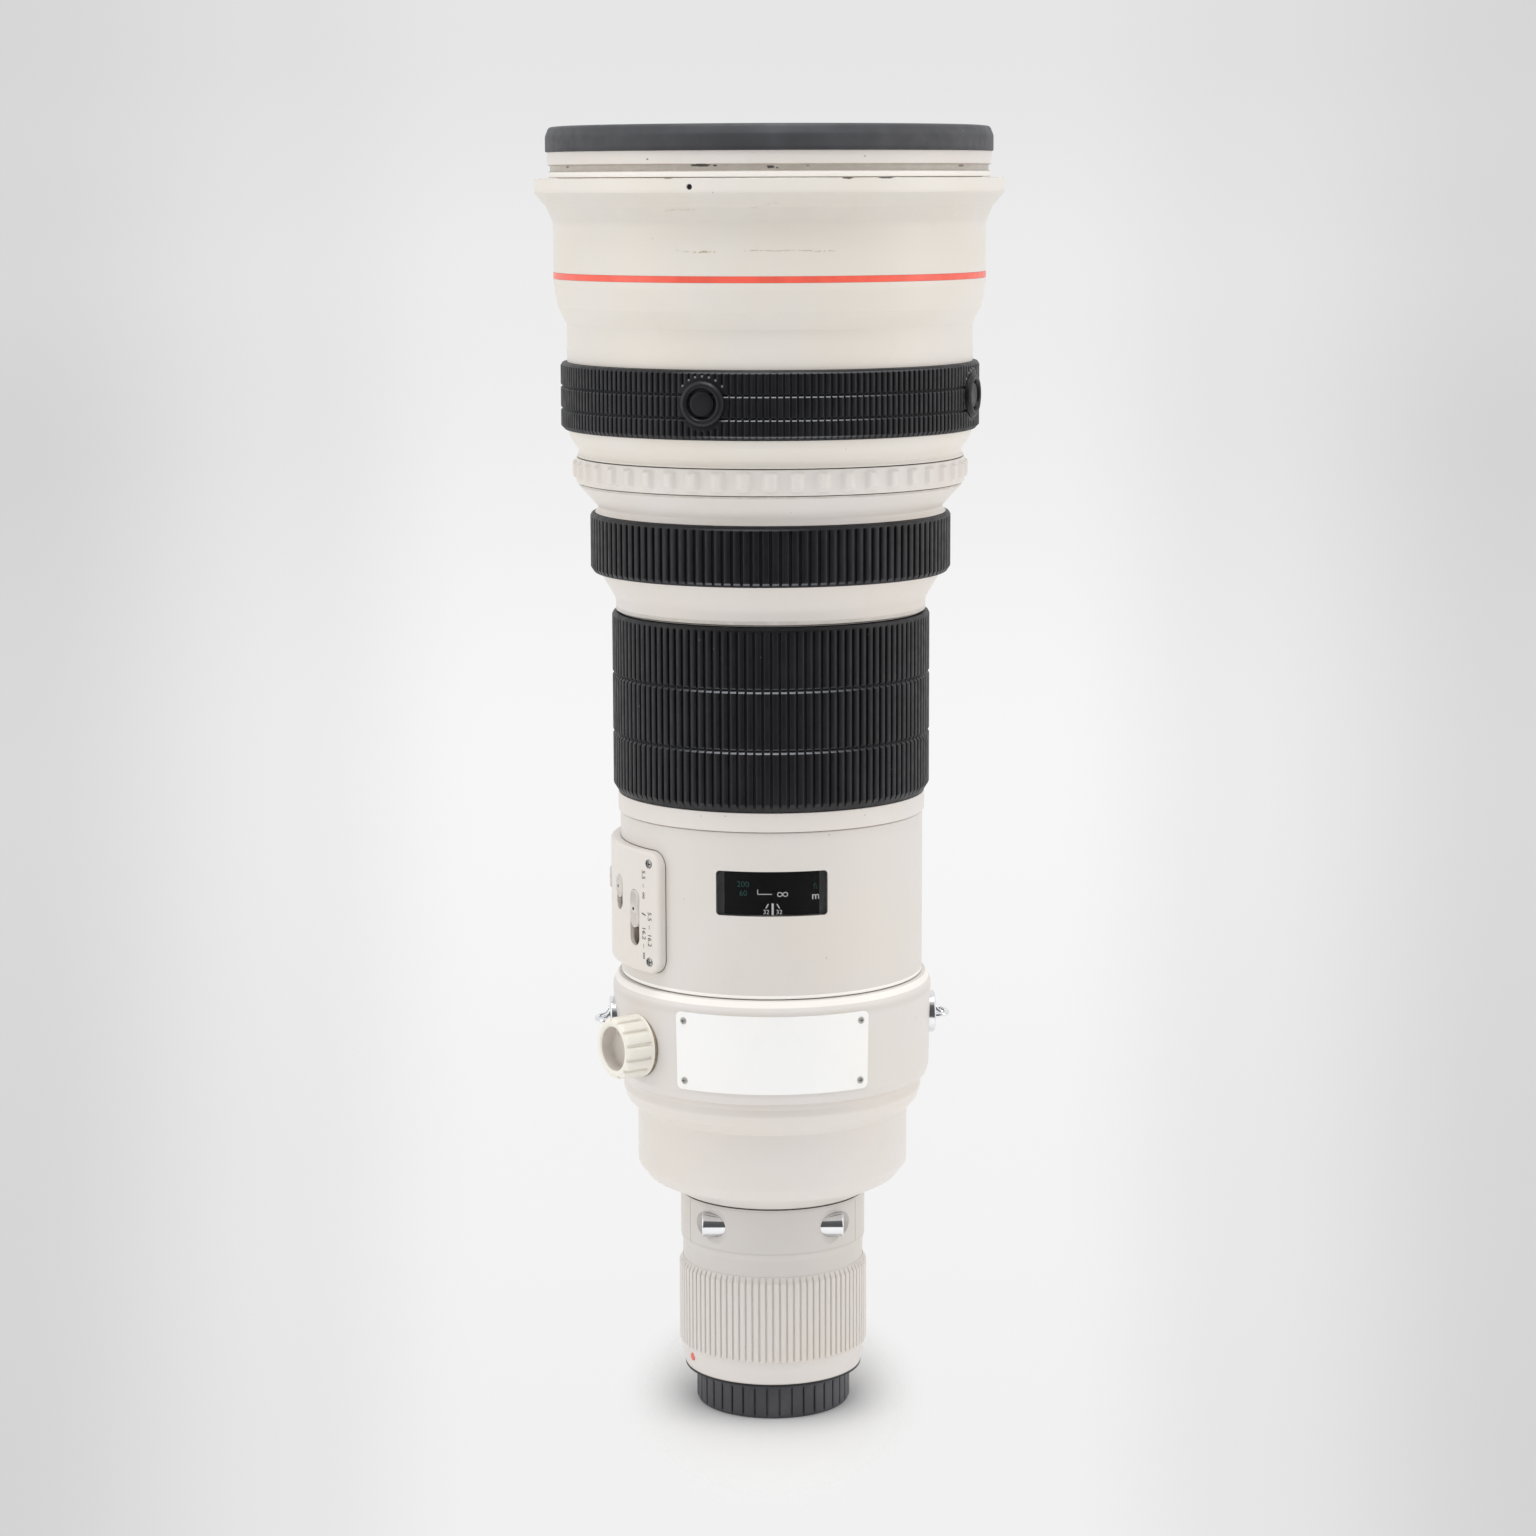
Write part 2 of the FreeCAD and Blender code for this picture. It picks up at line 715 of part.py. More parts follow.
def make_hood_seat():
    corners = [
        ("glass_radius - ledge_width", "hood_spigot_bottom"),
        ("hood_spigot_radius", "hood_spigot_bottom"),
        ("hood_spigot_radius", "hood_bottom"),
        ("hood_lip_radius", "hood_bottom", "edge_round"),
        ("hood_lip_radius", "hood_bottom + 2", "edge_round"),
        ("hood_groove_radius", "hood_bottom + 2.4"),
        ("hood_groove_radius", "hood_bottom + 4.1"),
        ("hood_ring_radius", "hood_bottom + 4.6", "edge_round"),
        ("hood_ring_radius", "hood_top"),
        ("glass_radius", "hood_top"),
        ("glass_radius", "glass_bottom"),
        ("glass_radius - ledge_width", "glass_bottom"),
    ]
    return turned("hood_seat", corners)


def make_front_glass():
    corners = [
        ("0", "glass_bottom + glass_rise", DOME),
        ("glass_radius", "glass_bottom"),
        ("glass_radius", "glass_edge_top", DOME),
        ("0", "glass_edge_top + glass_rise"),
    ]
    return turned("front_glass", corners)


def make_front_lens():
    corners = [
        ("0", "lens_ledge + front_lens_hollow", DOME),
        ("front_lens_radius", "lens_ledge"),
        ("front_lens_radius", "lens_ledge + front_lens_edge", DOME),
        ("0", "lens_ledge + front_lens_edge + front_lens_rise"),
    ]
    return turned("front_lens", corners)


def make_front_barrel():
    corners = [
        ("front_spigot_radius", "front_bottom"),
        ("playback_radius", "front_bottom", "edge_round"),
        ("playback_radius - 1.4", "front_bottom + 1.9", "1.5"),
        ("front_foot_radius - 1", "front_bottom + 7", "4"),
        ("front_foot_radius", "stop_bottom"),
        ("stop_seat_radius", "stop_bottom"),
        ("stop_seat_radius", "stop_top"),
        ("waist_radius", "stop_top"),
        ("waist_radius", "waist_top", "1"),
        ("front_radius - 1.4", "waist_top + step_length * 0.43", "1.2"),
        ("front_radius", "body_bottom", "12"),
        ("front_radius", "line_bottom"),
        ("front_radius - line_depth", "line_bottom"),
        ("front_radius - line_depth", "line_top"),
        ("front_radius", "line_top"),
        ("front_radius", "body_top", "9"),
        ("flange_radius - 4.2", "flange_bottom - 4.9", "3"),
        ("flange_radius", "flange_bottom", "edge_round"),
        ("flange_radius", "flange_top", "edge_round"),
        ("hood_spigot_radius", "flange_top"),
        ("hood_spigot_radius", "hood_spigot_bottom"),
        ("front_lens_radius", "hood_spigot_bottom"),
        ("front_lens_radius", "lens_ledge"),
        ("front_lens_radius - ledge_width", "lens_ledge"),
        ("front_lens_radius - ledge_width", "waist_top + step_length * 0.4"),
        ("waist_radius - shell_wall", "waist_top - 1"),
        ("waist_radius - shell_wall", "stop_bottom + 2"),
        ("front_spigot_radius", "front_bottom + 8.4"),
    ]
    shell = turned("front_barrel_shell", corners)
    holes = []
    for i in range(int(number("flange_screw_count"))):
        azimuth = number("flange_screw_azimuth") + i * FULL_TURN / number("flange_screw_count")
        hole = rod("flange_hole_%d" % (i + 1), "flange_screw_radius", "flange_radius")
        hole.Placement = outward(azimuth, number("hood_spigot_radius") - 1, flange_screw_level())
        holes.append(hole)
    return cut("front_barrel", shell, holes)


def flange_screw_level():
    return number("flange_bottom + flange_length * 0.4")


def make_flange_screws():
    screws = []
    for i in range(int(number("flange_screw_count"))):
        azimuth = number("flange_screw_azimuth") + i * FULL_TURN / number("flange_screw_count")
        screw = rod("flange_screw_%d" % (i + 1), "flange_screw_radius", "flange_screw_length")
        start = number("flange_radius - edge_round - flange_screw_length")
        screw.Placement = outward(azimuth, start, flange_screw_level())
        screws.append(screw)
    return gathered("flange_screws", screws)


def make_red_line():
    return ring("red_line", "front_radius - line_depth", "front_radius + 0.05", "line_bottom", "line_top")


# Rubber ring with the focus stop buttons
def stop_button_azimuths():
    count = int(number("stop_button_count"))
    return [number("stop_button_azimuth") + i * FULL_TURN / count for i in range(count)]


def make_stop_rubber():
    corners = [
        ("stop_seat_radius", "stop_bottom"),
        ("stop_radius - 1.2", "stop_bottom"),
        ("stop_radius", "stop_bottom + 1.2"),
    ]
    for height in ("stop_vee_low", "stop_vee_high"):
        corners.append(("stop_radius", "stop_bottom + %s - vee_half_width * 0.6" % height))
        corners.append(("stop_radius - vee_depth * 0.6", "stop_bottom + %s" % height))
        corners.append(("stop_radius", "stop_bottom + %s + vee_half_width * 0.6" % height))
    corners.append(("stop_radius", "stop_top", "edge_round"))
    corners.append(("stop_seat_radius", "stop_top"))
    pieces = [turned("stop_rubber_ring", corners)]
    patches = []
    holes = []
    for i, azimuth in enumerate(stop_button_azimuths()):
        level = number("stop_button_level")
        patch = rod("stop_patch_%d" % (i + 1), "stop_patch_radius", "stop_radius")
        patch.Placement = outward(azimuth, number("stop_seat_radius / 2"), level)
        patches.append(patch)
        skin = ring("stop_skin_%d" % (i + 1), "stop_seat_radius + 0.3", "stop_radius",
                    "stop_button_level - stop_patch_radius - 1",
                    "stop_button_level + stop_patch_radius + 1", "20")
        skin.Placement = Placement(Vector(0, 0, 0), facing(azimuth))
        smooth = document.addObject("Part::MultiCommon", "stop_smooth_%d" % (i + 1))
        smooth.Shapes = [patch, skin]
        boss = rod("stop_boss_%d" % (i + 1), "stop_boss_radius",
                   "stop_radius - stop_seat_radius + stop_boss_reach - 0.5")
        boss.Placement = outward(azimuth, number("stop_seat_radius + 0.5"), level)
        hole = rod("stop_hole_%d" % (i + 1), "stop_hole_radius", "stop_radius")
        hole.Placement = outward(azimuth, number("stop_seat_radius") - 2, level)
        pieces += [smooth, boss]
        holes.append(hole)
    pierced = cut("stop_rubber_pierced", joined("stop_rubber_whole", pieces), holes)
    grooves = groove_cutter("stop_grooves", "stop_rib_count", "stop_groove_width",
                            "stop_radius - stop_groove_depth",
                            "stop_bottom + 1.6", "stop_length - 3.2", patches)
    return cut("stop_rubber", pierced, [grooves])


def make_stop_button(i, azimuth):
    """One of the buttons: a guided disc with a smaller domed cap, pressed towards the axis."""
    label = "stop_button_%d" % (i + 1)
    corners = [
        ("0", "0"),
        ("stop_hole_radius - running_gap", "0"),
        ("stop_hole_radius - running_gap", "1"),
        ("stop_button_radius", "1"),
        ("stop_button_radius", "stop_boss_reach + 1.1", "edge_round"),
        ("stop_button_radius - 1.2", "stop_boss_reach + 1.1"),
        ("stop_button_radius - 1.5", "stop_boss_reach + 0.8"),
        ("0", "stop_boss_reach + 0.8"),
    ]
    body = turned(label, corners)
    start = number("stop_seat_radius + running_gap + stop_button_travel")
    body.Placement = outward(azimuth, start, number("stop_button_level"))
    return body


# Middle of the lens, from the playback ring down to the focus ring
def make_playback_ring():
    corners = [
        ("playback_seat_radius + running_fit", "playback_bottom"),
        ("playback_radius", "playback_bottom", "edge_round"),
        ("playback_radius", "playback_top", "edge_round"),
        ("playback_seat_radius + running_fit", "playback_top"),
    ]
    body = turned("playback_ring", corners)
    padded(body, "playback_pads", "playback_pad_count", "playback_pad_width",
           "playback_radius - 1", "playback_pad_radius",
           "playback_bottom + 1.2", "playback_length - 2.4")
    return body


def make_mid_barrel():
    corners = [
        ("skirt_radius - shell_wall", "skirt_bottom"),
        ("skirt_radius", "skirt_bottom"),
        ("skirt_radius", "mid_bottom"),
        ("cone_low_radius", "mid_bottom"),
        ("cone_low_radius", "mid_bottom + 4.2", "5"),
        ("cone_high_radius - 0.8", "grip_bottom - 0.8"),
        ("cone_high_radius", "grip_bottom"),
        ("grip_seat_radius", "grip_bottom"),
        ("grip_seat_radius", "grip_top"),
        ("grip_radius - 1.7", "grip_top"),
        ("grip_radius - 3.2", "grip_top + 2", "1.2"),
        ("curve_radius - 2.3", "mid_shoulder - 3", "4"),
        ("curve_radius", "mid_shoulder - 0.6"),
        ("curve_radius", "mid_shoulder"),
        ("playback_seat_radius", "mid_shoulder"),
        ("playback_seat_radius", "playback_top"),
        ("front_spigot_radius", "playback_top"),
        ("front_spigot_radius", "front_bottom + 8.4"),
        ("front_spigot_radius - shell_wall", "front_bottom + 8.4"),
        ("front_spigot_radius - shell_wall", "playback_bottom - 2"),
        ("grip_radius - 3.2 - shell_wall", "grip_top + 1"),
        ("grip_radius - 3.2 - shell_wall", "tube_top + 2"),
        ("grip_radius - 5.2 - shell_wall", "tube_top"),
        ("tube_radius", "tube_top"),
        ("tube_radius", "mid_flange_bottom"),
        ("skirt_radius - shell_wall", "mid_flange_bottom"),
    ]
    return turned("mid_barrel", corners)


def make_grip_rubber():
    corners = [
        ("grip_seat_radius", "grip_bottom"),
        ("cone_high_radius + 1.7", "grip_bottom"),
        ("grip_radius", "grip_bottom + 1.8", "0.8"),
        ("grip_radius", "grip_top", "edge_round"),
        ("grip_seat_radius", "grip_top"),
    ]
    body = turned("grip_rubber_ring", corners)
    grooves = groove_cutter("grip_grooves", "rib_count", "rib_groove_width",
                            "grip_radius - rib_groove_depth", "grip_bottom + 0.6", "grip_length - 1.6")
    return cut("grip_rubber", body, [grooves])


def make_focus_sleeve():
    corners = [
        ("tube_radius + running_fit", "focus_bottom"),
        ("focus_rim_radius", "focus_bottom", "edge_round"),
        ("focus_rim_radius", "focus_bottom + focus_rim_length"),
        ("focus_seat_radius", "focus_bottom + focus_rim_length"),
        ("focus_seat_radius", "focus_top"),
        ("sleeve_bore", "focus_top"),
        ("sleeve_bore", "focus_flange_top"),
        ("tube_radius + running_fit", "focus_flange_top"),
    ]
    return turned("focus_sleeve", corners)


def make_focus_rubber():
    bottom = "focus_bottom + focus_rim_length"
    corners = [
        ("focus_seat_radius", bottom),
        ("focus_rubber_radius - 2", bottom),
        ("focus_rubber_radius", bottom + " + 3.2", "1"),
    ]
    for height in ("focus_vee_low", "focus_vee_high"):
        corners.append(("focus_rubber_radius", "focus_bottom + %s - vee_half_width" % height))
        corners.append(("focus_rubber_radius - vee_depth", "focus_bottom + %s" % height))
        corners.append(("focus_rubber_radius", "focus_bottom + %s + vee_half_width" % height))
    corners.append(("focus_rubber_radius", "focus_top - 0.2", "edge_round"))
    corners.append(("focus_seat_radius", "focus_top - 0.2"))
    body = turned("focus_rubber_ring", corners)
    grooves = groove_cutter("focus_grooves", "rib_count", "rib_groove_width",
                            "focus_rubber_radius - rib_groove_depth",
                            bottom + " + 1", "focus_length - focus_rim_length - 2.4")
    return cut("focus_rubber", body, [grooves])


# Main barrel with the distance window and the switch panel
def make_main_barrel():
    corners = [
        ("main_spigot_radius", "main_bottom"),
        ("main_radius", "main_bottom", "edge_round"),
        ("main_radius", "main_top", "edge_round"),
        ("main_bore", "main_top"),
        ("main_bore", "main_spigot_top"),
        ("main_spigot_radius", "main_spigot_top"),
    ]
    shell = turned("main_barrel_shell", corners)
    window = ring("window_cutter", "main_bore - 1", "main_radius + 1", "window_low", "window_high",
                  "window_angle")
    window.Placement = Placement(Vector(0, 0, 0), facing(0))
    return cut("main_barrel", shell, [window])


def make_window_pane():
    body = ring("window_pane", "main_radius - window_recess - pane_thickness",
                "main_radius - window_recess", "window_low", "window_high", "window_angle")
    body.Placement = Placement(Vector(0, 0, 0), facing(0))
    return body


def is_radial(edge):
    """Says whether an edge is straight and lies square to the axis."""
    if not isinstance(edge.Curve, Part.Line):
        return False
    return abs(edge.Curve.Direction.z) < 1e-6


def slot_tools(name, azimuth, bottom, length):
    """The window that a slider shows through, and the wider channel behind it for its base."""
    window = block(name + "_window", "panel_thickness + 4", "slot_width", length,
                   "main_radius - 1", bottom, number(azimuth))
    channel = block(name + "_channel", "slider_base + 2.5 * running_gap + 2",
                    "slot_width + 2 * slider_wing + 2 * slot_clearance",
                    length + " + 2 * slider_wing", "main_radius - 2",
                    bottom + " - slider_wing", number(azimuth))
    return [window, channel]


def make_switch_panel():
    shell = ring("switch_panel_shell", "main_radius", "panel_radius", "panel_low", "panel_high",
                 "panel_angle")
    softened(shell, "panel_corners", "panel_corner", is_radial)
    outer = number("panel_radius")

    def on_outer_face(edge):
        spots = [edge.valueAt(p) for p in (edge.FirstParameter, edge.LastParameter)]
        return all(abs(math.hypot(p.x, p.y) - outer) < 0.01 for p in spots)

    softened(shell, "panel_edges", "panel_edge_round", on_outer_face)
    shell.Placement = Placement(Vector(0, 0, 0), facing(number("panel_azimuth")))
    tools = slot_tools("range_slot", "range_azimuth", "panel_low - panel_bottom + range_bottom",
                       "range_length")
    tools += slot_tools("mode_slot", "mode_azimuth", "panel_low - panel_bottom + mode_bottom",
                        "mode_length")
    tools += slot_tools("stabiliser_slot", "stabiliser_azimuth",
                        "panel_low - panel_bottom + mode_bottom", "mode_length")
    set_hole = rod("set_hole", "set_radius + slot_clearance", "panel_thickness + 4")
    set_hole.Placement = outward(number("set_azimuth"), number("main_radius") - 1,
                                 number("panel_low - panel_bottom + set_height"))
    tools.append(set_hole)
    tools += panel_screw_rods("panel_screw_hole", "panel_thickness")
    return cut("switch_panel", shell, tools)


def panel_screw_rods(name, length):
    """Four rods at the panel's corners, ending flush with a shallow counterbore."""
    rods = []
    for side in (-1, 1):
        for end, level in (("low", "panel_low + panel_screw_inset"),
                           ("high", "panel_high - panel_screw_inset")):
            made = rod("%s_%s_%d" % (name, end, side + 2), "panel_screw_radius", length)
            azimuth = number("panel_azimuth") + side * number("panel_screw_angle")
            made.Placement = outward(azimuth, number("main_radius + 0.6"), number(level))
            rods.append(made)
    return rods


def make_panel_screws():
    return gathered("panel_screws", panel_screw_rods("panel_screw", "panel_thickness - 0.9"))


def make_slider(label, azimuth, bottom, length, travel):
    """A sliding switch at the top of its slot: a base in the channel, and a ridged grip."""
    base_start = "main_radius + running_gap"
    base = block(label + "_base", "slider_base", "slot_width + 2 * slider_wing - 2 * slot_clearance",
                 "%s - %s + 2 * slider_wing - 4 * slot_clearance" % (length, travel),
                 base_start, "%s + %s - slider_wing + 2 * slot_clearance" % (bottom, travel),
                 number(azimuth))
    grip = block(label + "_grip", "panel_thickness + slider_reach - running_gap",
                 "slot_width - 2 * slot_clearance",
                 "%s - %s - 2 * slot_clearance" % (length, travel),
                 base_start, "%s + %s + slot_clearance" % (bottom, travel), number(azimuth))
    whole = joined(label + "_whole", [base, grip])
    ridge_count = 5
    ridge_gap = (number(length) - number(travel)) / (ridge_count + 1)
    notches = []
    for i in range(ridge_count):
        level = number("%s + %s" % (bottom, travel)) + (i + 1) * ridge_gap
        notch = rod("%s_notch_%d" % (label, i + 1), "slider_reach * 0.35", "slot_width * 2")
        turn = facing(number(azimuth))
        spot = turn.multVec(Vector(number("panel_radius + slider_reach"), -number("slot_width"), level))
        notch.Placement = Placement(spot, turn.multiply(Rotation(Vector(1, 0, 0), -90.0)))
        notches.append(notch)
    return cut(label, whole, notches)


def make_set_button():
    corners = [
        ("0", "0"),
        ("set_radius", "0"),
        ("set_radius", "panel_thickness + set_reach - running_gap * 4", "edge_round"),
        ("0", "panel_thickness + set_reach - running_gap * 4"),
    ]
    body = turned("set_button", corners)
    body.Placement = outward(number("set_azimuth"), number("main_radius + running_gap * 4"),
                             number("panel_low - panel_bottom + set_height"))
    return body


# Tripod collar
def collar_flank(extra):
    """The outer side of the collar where the nameplate lies, moved outward by extra."""
    return [
        ("collar_low_radius + " + extra, "collar_bottom + plate_bottom"),
        ("collar_high_radius + " + extra, "collar_bottom + plate_top"),
    ]


def make_collar_ring():
    corners = [
        ("collar_bore", "collar_bottom"),
        ("collar_low_radius - 1", "collar_bottom", "0.8"),
        ("collar_low_radius", "collar_bottom + 3", "1.5"),
    ]
    corners += collar_flank("0")
    corners += [
        ("collar_high_radius", "collar_top - 4", "3"),
        ("main_radius + 1.2", "collar_top", "edge_round"),
        ("collar_bore", "collar_top"),
    ]
    shell = turned("collar_shell", corners)
    azimuth = number("knob_azimuth")
    level = number("knob_level")
    spot_face = rod("knob_spot_face", "knob_radius + running_gap", "knob_reach")
    spot_face.Placement = outward(azimuth, number("knob_seat - running_gap"), level)
    screw_hole = rod("knob_screw_hole", "knob_screw_radius + running_fit", "knob_seat")
    screw_hole.Placement = outward(azimuth, number("bearing_radius") - 2, level)
    shoe_hole = rod("shoe_hole", "shoe_radius + running_fit", "4 + shoe_length + shoe_travel + running_gap")
    shoe_hole.Placement = outward(azimuth, number("bearing_radius") - 4, level)
    tools = [spot_face, screw_hole, shoe_hole]
    return cut("collar_ring", shell, tools)


def make_nameplate():
    inner = collar_flank("running_fit")
    outer = collar_flank("plate_thickness")
    body = turned("nameplate_blank", inner + outer[::-1], "plate_angle")
    softened(body, "nameplate_corners", "plate_corner", is_radial)
    body.Placement = Placement(Vector(0, 0, 0), facing(0))
    return cut("nameplate", body, plate_screw_rods("plate_hole", "plate_thickness * 3"))


def plate_screw_rods(name, length):
    """Four rods at the nameplate's corners, starting at the plate's back."""
    rods = []
    for side in (-1, 1):
        for i, (level, base) in enumerate((
                ("collar_bottom + plate_bottom + plate_screw_inset", "collar_low_radius + 0.12"),
                ("collar_bottom + plate_top - plate_screw_inset", "collar_high_radius - 0.045"))):
            made = rod("%s_%d_%d" % (name, side + 2, i + 1), "plate_screw_radius", length)
            made.Placement = outward(side * number("plate_screw_azimuth"), number(base), number(level))
            rods.append(made)
    return rods


def make_nameplate_screws():
    return gathered("nameplate_screws", plate_screw_rods("plate_screw", "plate_thickness + 0.3"))


def make_strap_lug(name, azimuth):
    """A strap lug: a disc on the collar and a flat loop standing out from it."""
    disc = rod(name + "_disc", "lug_disc_radius", "lug_disc_length + 1.5")
    disc.Placement = outward(azimuth, number("collar_high_radius - 1.5"), number("lug_level"))
    loop = rod(name + "_loop", "lug_loop_radius", "lug_loop_thickness")
    turn = facing(azimuth)
    distance = number("collar_high_radius + lug_disc_length + lug_loop_reach - lug_loop_radius")
    bottom = number("lug_level - lug_loop_thickness / 2")
    loop.Placement = Placement(turn.multVec(Vector(distance, 0, bottom)), turn)
    hole = rod(name + "_hole", "lug_loop_radius - 2", "lug_loop_thickness * 3")
    hole.Placement = Placement(turn.multVec(Vector(distance, 0, bottom - number("lug_loop_thickness"))), turn)
    inside = block(name + "_inside", "20", "30", "30", "collar_high_radius - 19", "lug_level - 15", azimuth)
    half_loop = cut(name + "_half_loop", loop, [inside])
    pierced = joined(name + "_joined", [disc, half_loop])
    outside = block(name + "_slot", "lug_loop_reach", "lug_loop_radius * 4", "20",
                    "collar_high_radius + lug_disc_length", "lug_level - 10", azimuth)
    slot = document.addObject("Part::MultiCommon", name + "_slot_round")
    slot.Shapes = [hole, outside]
    lug = cut(name + "_pierced", pierced, [slot])
    return cut(name, lug, [collar_core(name)])


def collar_core(name):
    """The collar's outer form as a plain solid, for seating a piece on it without overlap."""
    corners = [("0", "collar_bottom"), ("collar_low_radius", "collar_bottom")]
    corners += collar_flank("0")
    corners += [("collar_high_radius", "collar_top"), ("0", "collar_top")]
    return turned(name + "_core", corners)


def make_strap_lugs():
    left = make_strap_lug("strap_lug_left", number("lug_left_azimuth"))
    right = make_strap_lug("strap_lug_right", number("lug_right_azimuth"))
    return gathered("strap_lugs", [left, right])


def make_tripod_foot():
    plate = block("foot_plate", "foot_plate_thickness", "foot_width", "foot_plate_length",
                  "foot_plate_inner", "foot_plate_bottom", 180)
    upright = block("foot_neck", "foot_plate_inner + 2 - bearing_radius", "foot_neck_width",
                    "foot_neck_length", "bearing_radius", "foot_level - foot_neck_length / 2", 180)
    whole = joined("foot_whole", [plate, upright])
    rounded = document.addObject("Part::Fillet", "foot_rounded")
    rounded.Base = whole
    radius = number("foot_edge_round")
    outer = number("foot_offset")
    corners = []
    for i, edge in enumerate(whole.Shape.Edges, start=1):
        middle = edge.valueAt((edge.FirstParameter + edge.LastParameter) / 2)
        if middle.y > number("foot_plate_inner") + 1 and abs(middle.y - outer) > 1:
            corners.append((i, radius, radius))
    rounded.Edges = corners
    document.recompute()
    tools = [collar_core("foot")]
    for name, size, offset in (("large", "large_thread_radius", -0.5), ("small", "small_thread_radius", 0.5)):
        hole = rod("foot_thread_" + name, size, "thread_depth + 1")
        level = number("foot_plate_bottom + foot_plate_length / 2") + offset * number("thread_spacing")
        hole.Placement = outward(180, number("foot_offset - thread_depth"), level)
        tools.append(hole)
    return cut("tripod_foot", rounded, tools)


def make_lock_knob():
    """The clamp knob, turned on its own axis, with its screw towards the lens."""
    corners = [
        ("0", "bearing_radius + shoe_length * 0.5 - knob_seat"),
        ("knob_screw_radius", "bearing_radius + shoe_length * 0.5 - knob_seat"),
        ("knob_screw_radius", "0"),
        ("knob_radius", "0", "edge_round"),
        ("knob_radius", "knob_flange_length"),
        ("knob_radius - 0.4", "knob_flange_length + 0.3"),
        ("knob_radius - 0.4", "knob_reach", "1"),
        ("knob_hollow_radius", "knob_reach", "edge_round"),
        ("knob_hollow_radius - 0.8", "knob_reach - knob_hollow_depth", "1"),
        ("0", "knob_reach - knob_hollow_depth"),
    ]
    body = turned("lock_knob", corners)
    grooved(body, "knob_flutes", "knob_flute_count", "knob_flute_width",
            "knob_radius - 0.4 - knob_flute_depth", "knob_radius",
            "knob_flange_length + 0.6", "knob_reach - knob_flange_length - 2")
    body.Placement = outward(number("knob_azimuth"), number("knob_seat"), number("knob_level"))
    return body


def make_clamp_shoe():
    """The clamp's shoe: a short slug with a hollow end that fits the bearing."""
    slug = rod("shoe_slug", "shoe_radius", "shoe_length + 2")
    slug.Placement = outward(number("knob_azimuth"), number("bearing_radius") - 2, number("knob_level"))
    bore = rod("shoe_bore", "knob_screw_radius + running_fit", "shoe_length + 8")
    bore.Placement = outward(number("knob_azimuth"), number("bearing_radius") - 4, number("knob_level"))
    core = rod("shoe_core", "collar_bore", "collar_length")
    core.Placement = Placement(Vector(0, 0, number("collar_bottom")), Rotation())
    return cut("clamp_shoe", slug, [joined("shoe_tools", [bore, core])])


# Rear barrel, neck and mount
def make_rear_barrel():
    corners = [
        ("spigot_radius", "rear_bottom"),
        ("bay_radius + 0.4", "rear_bottom", "edge_round"),
        ("rear_radius - 3.8", "rear_shoulder - 5.5", "2.5"),
        ("rear_radius", "rear_shoulder - 0.6", "2.5"),
        ("rear_radius", "rear_waist - 0.4", "1"),
        ("rear_radius + 1.2", "rear_waist + 0.7", "0.5"),
        ("rear_step_radius - 1.5", "rear_waist + 3.3", "2"),
        ("rear_step_radius", "rear_waist + 7.6", "2"),
        ("rear_step_radius - 0.5", "rear_waist + 10"),
        ("rear_step_radius - 0.3", "rear_step"),
        ("bearing_radius", "rear_step"),
        ("bearing_radius", "main_bottom"),
        ("main_spigot_radius", "main_bottom"),
        ("main_spigot_radius", "main_spigot_top"),
        ("main_spigot_radius - shell_wall", "main_spigot_top"),
        ("main_spigot_radius - shell_wall", "tube_floor_top"),
        ("tube_radius", "tube_floor_top"),
        ("tube_radius", "tube_bottom"),
        ("unit_radius", "tube_bottom"),
        ("unit_radius", "unit_bottom"),
        ("rear_bore", "unit_bottom"),
        ("rear_bore", "iris_bottom"),
        ("rear_bore - 4", "iris_bottom"),
        ("spigot_radius + 1.3", "rear_bottom + 3.4"),
        ("spigot_radius", "rear_bottom + 3.4"),
    ]
    return turned("rear_barrel", corners)


def holder_opening(name, clearance):
    """The space of the drop-in filter holder in the neck's wall, square to the front."""
    width = "2 * (holder_half_width + %s)" % clearance
    return block(name, "bay_radius + 4", width, "holder_top - holder_bottom + 2 * (%s)" % clearance,
                 "0", "holder_bottom - (%s)" % clearance, 0)


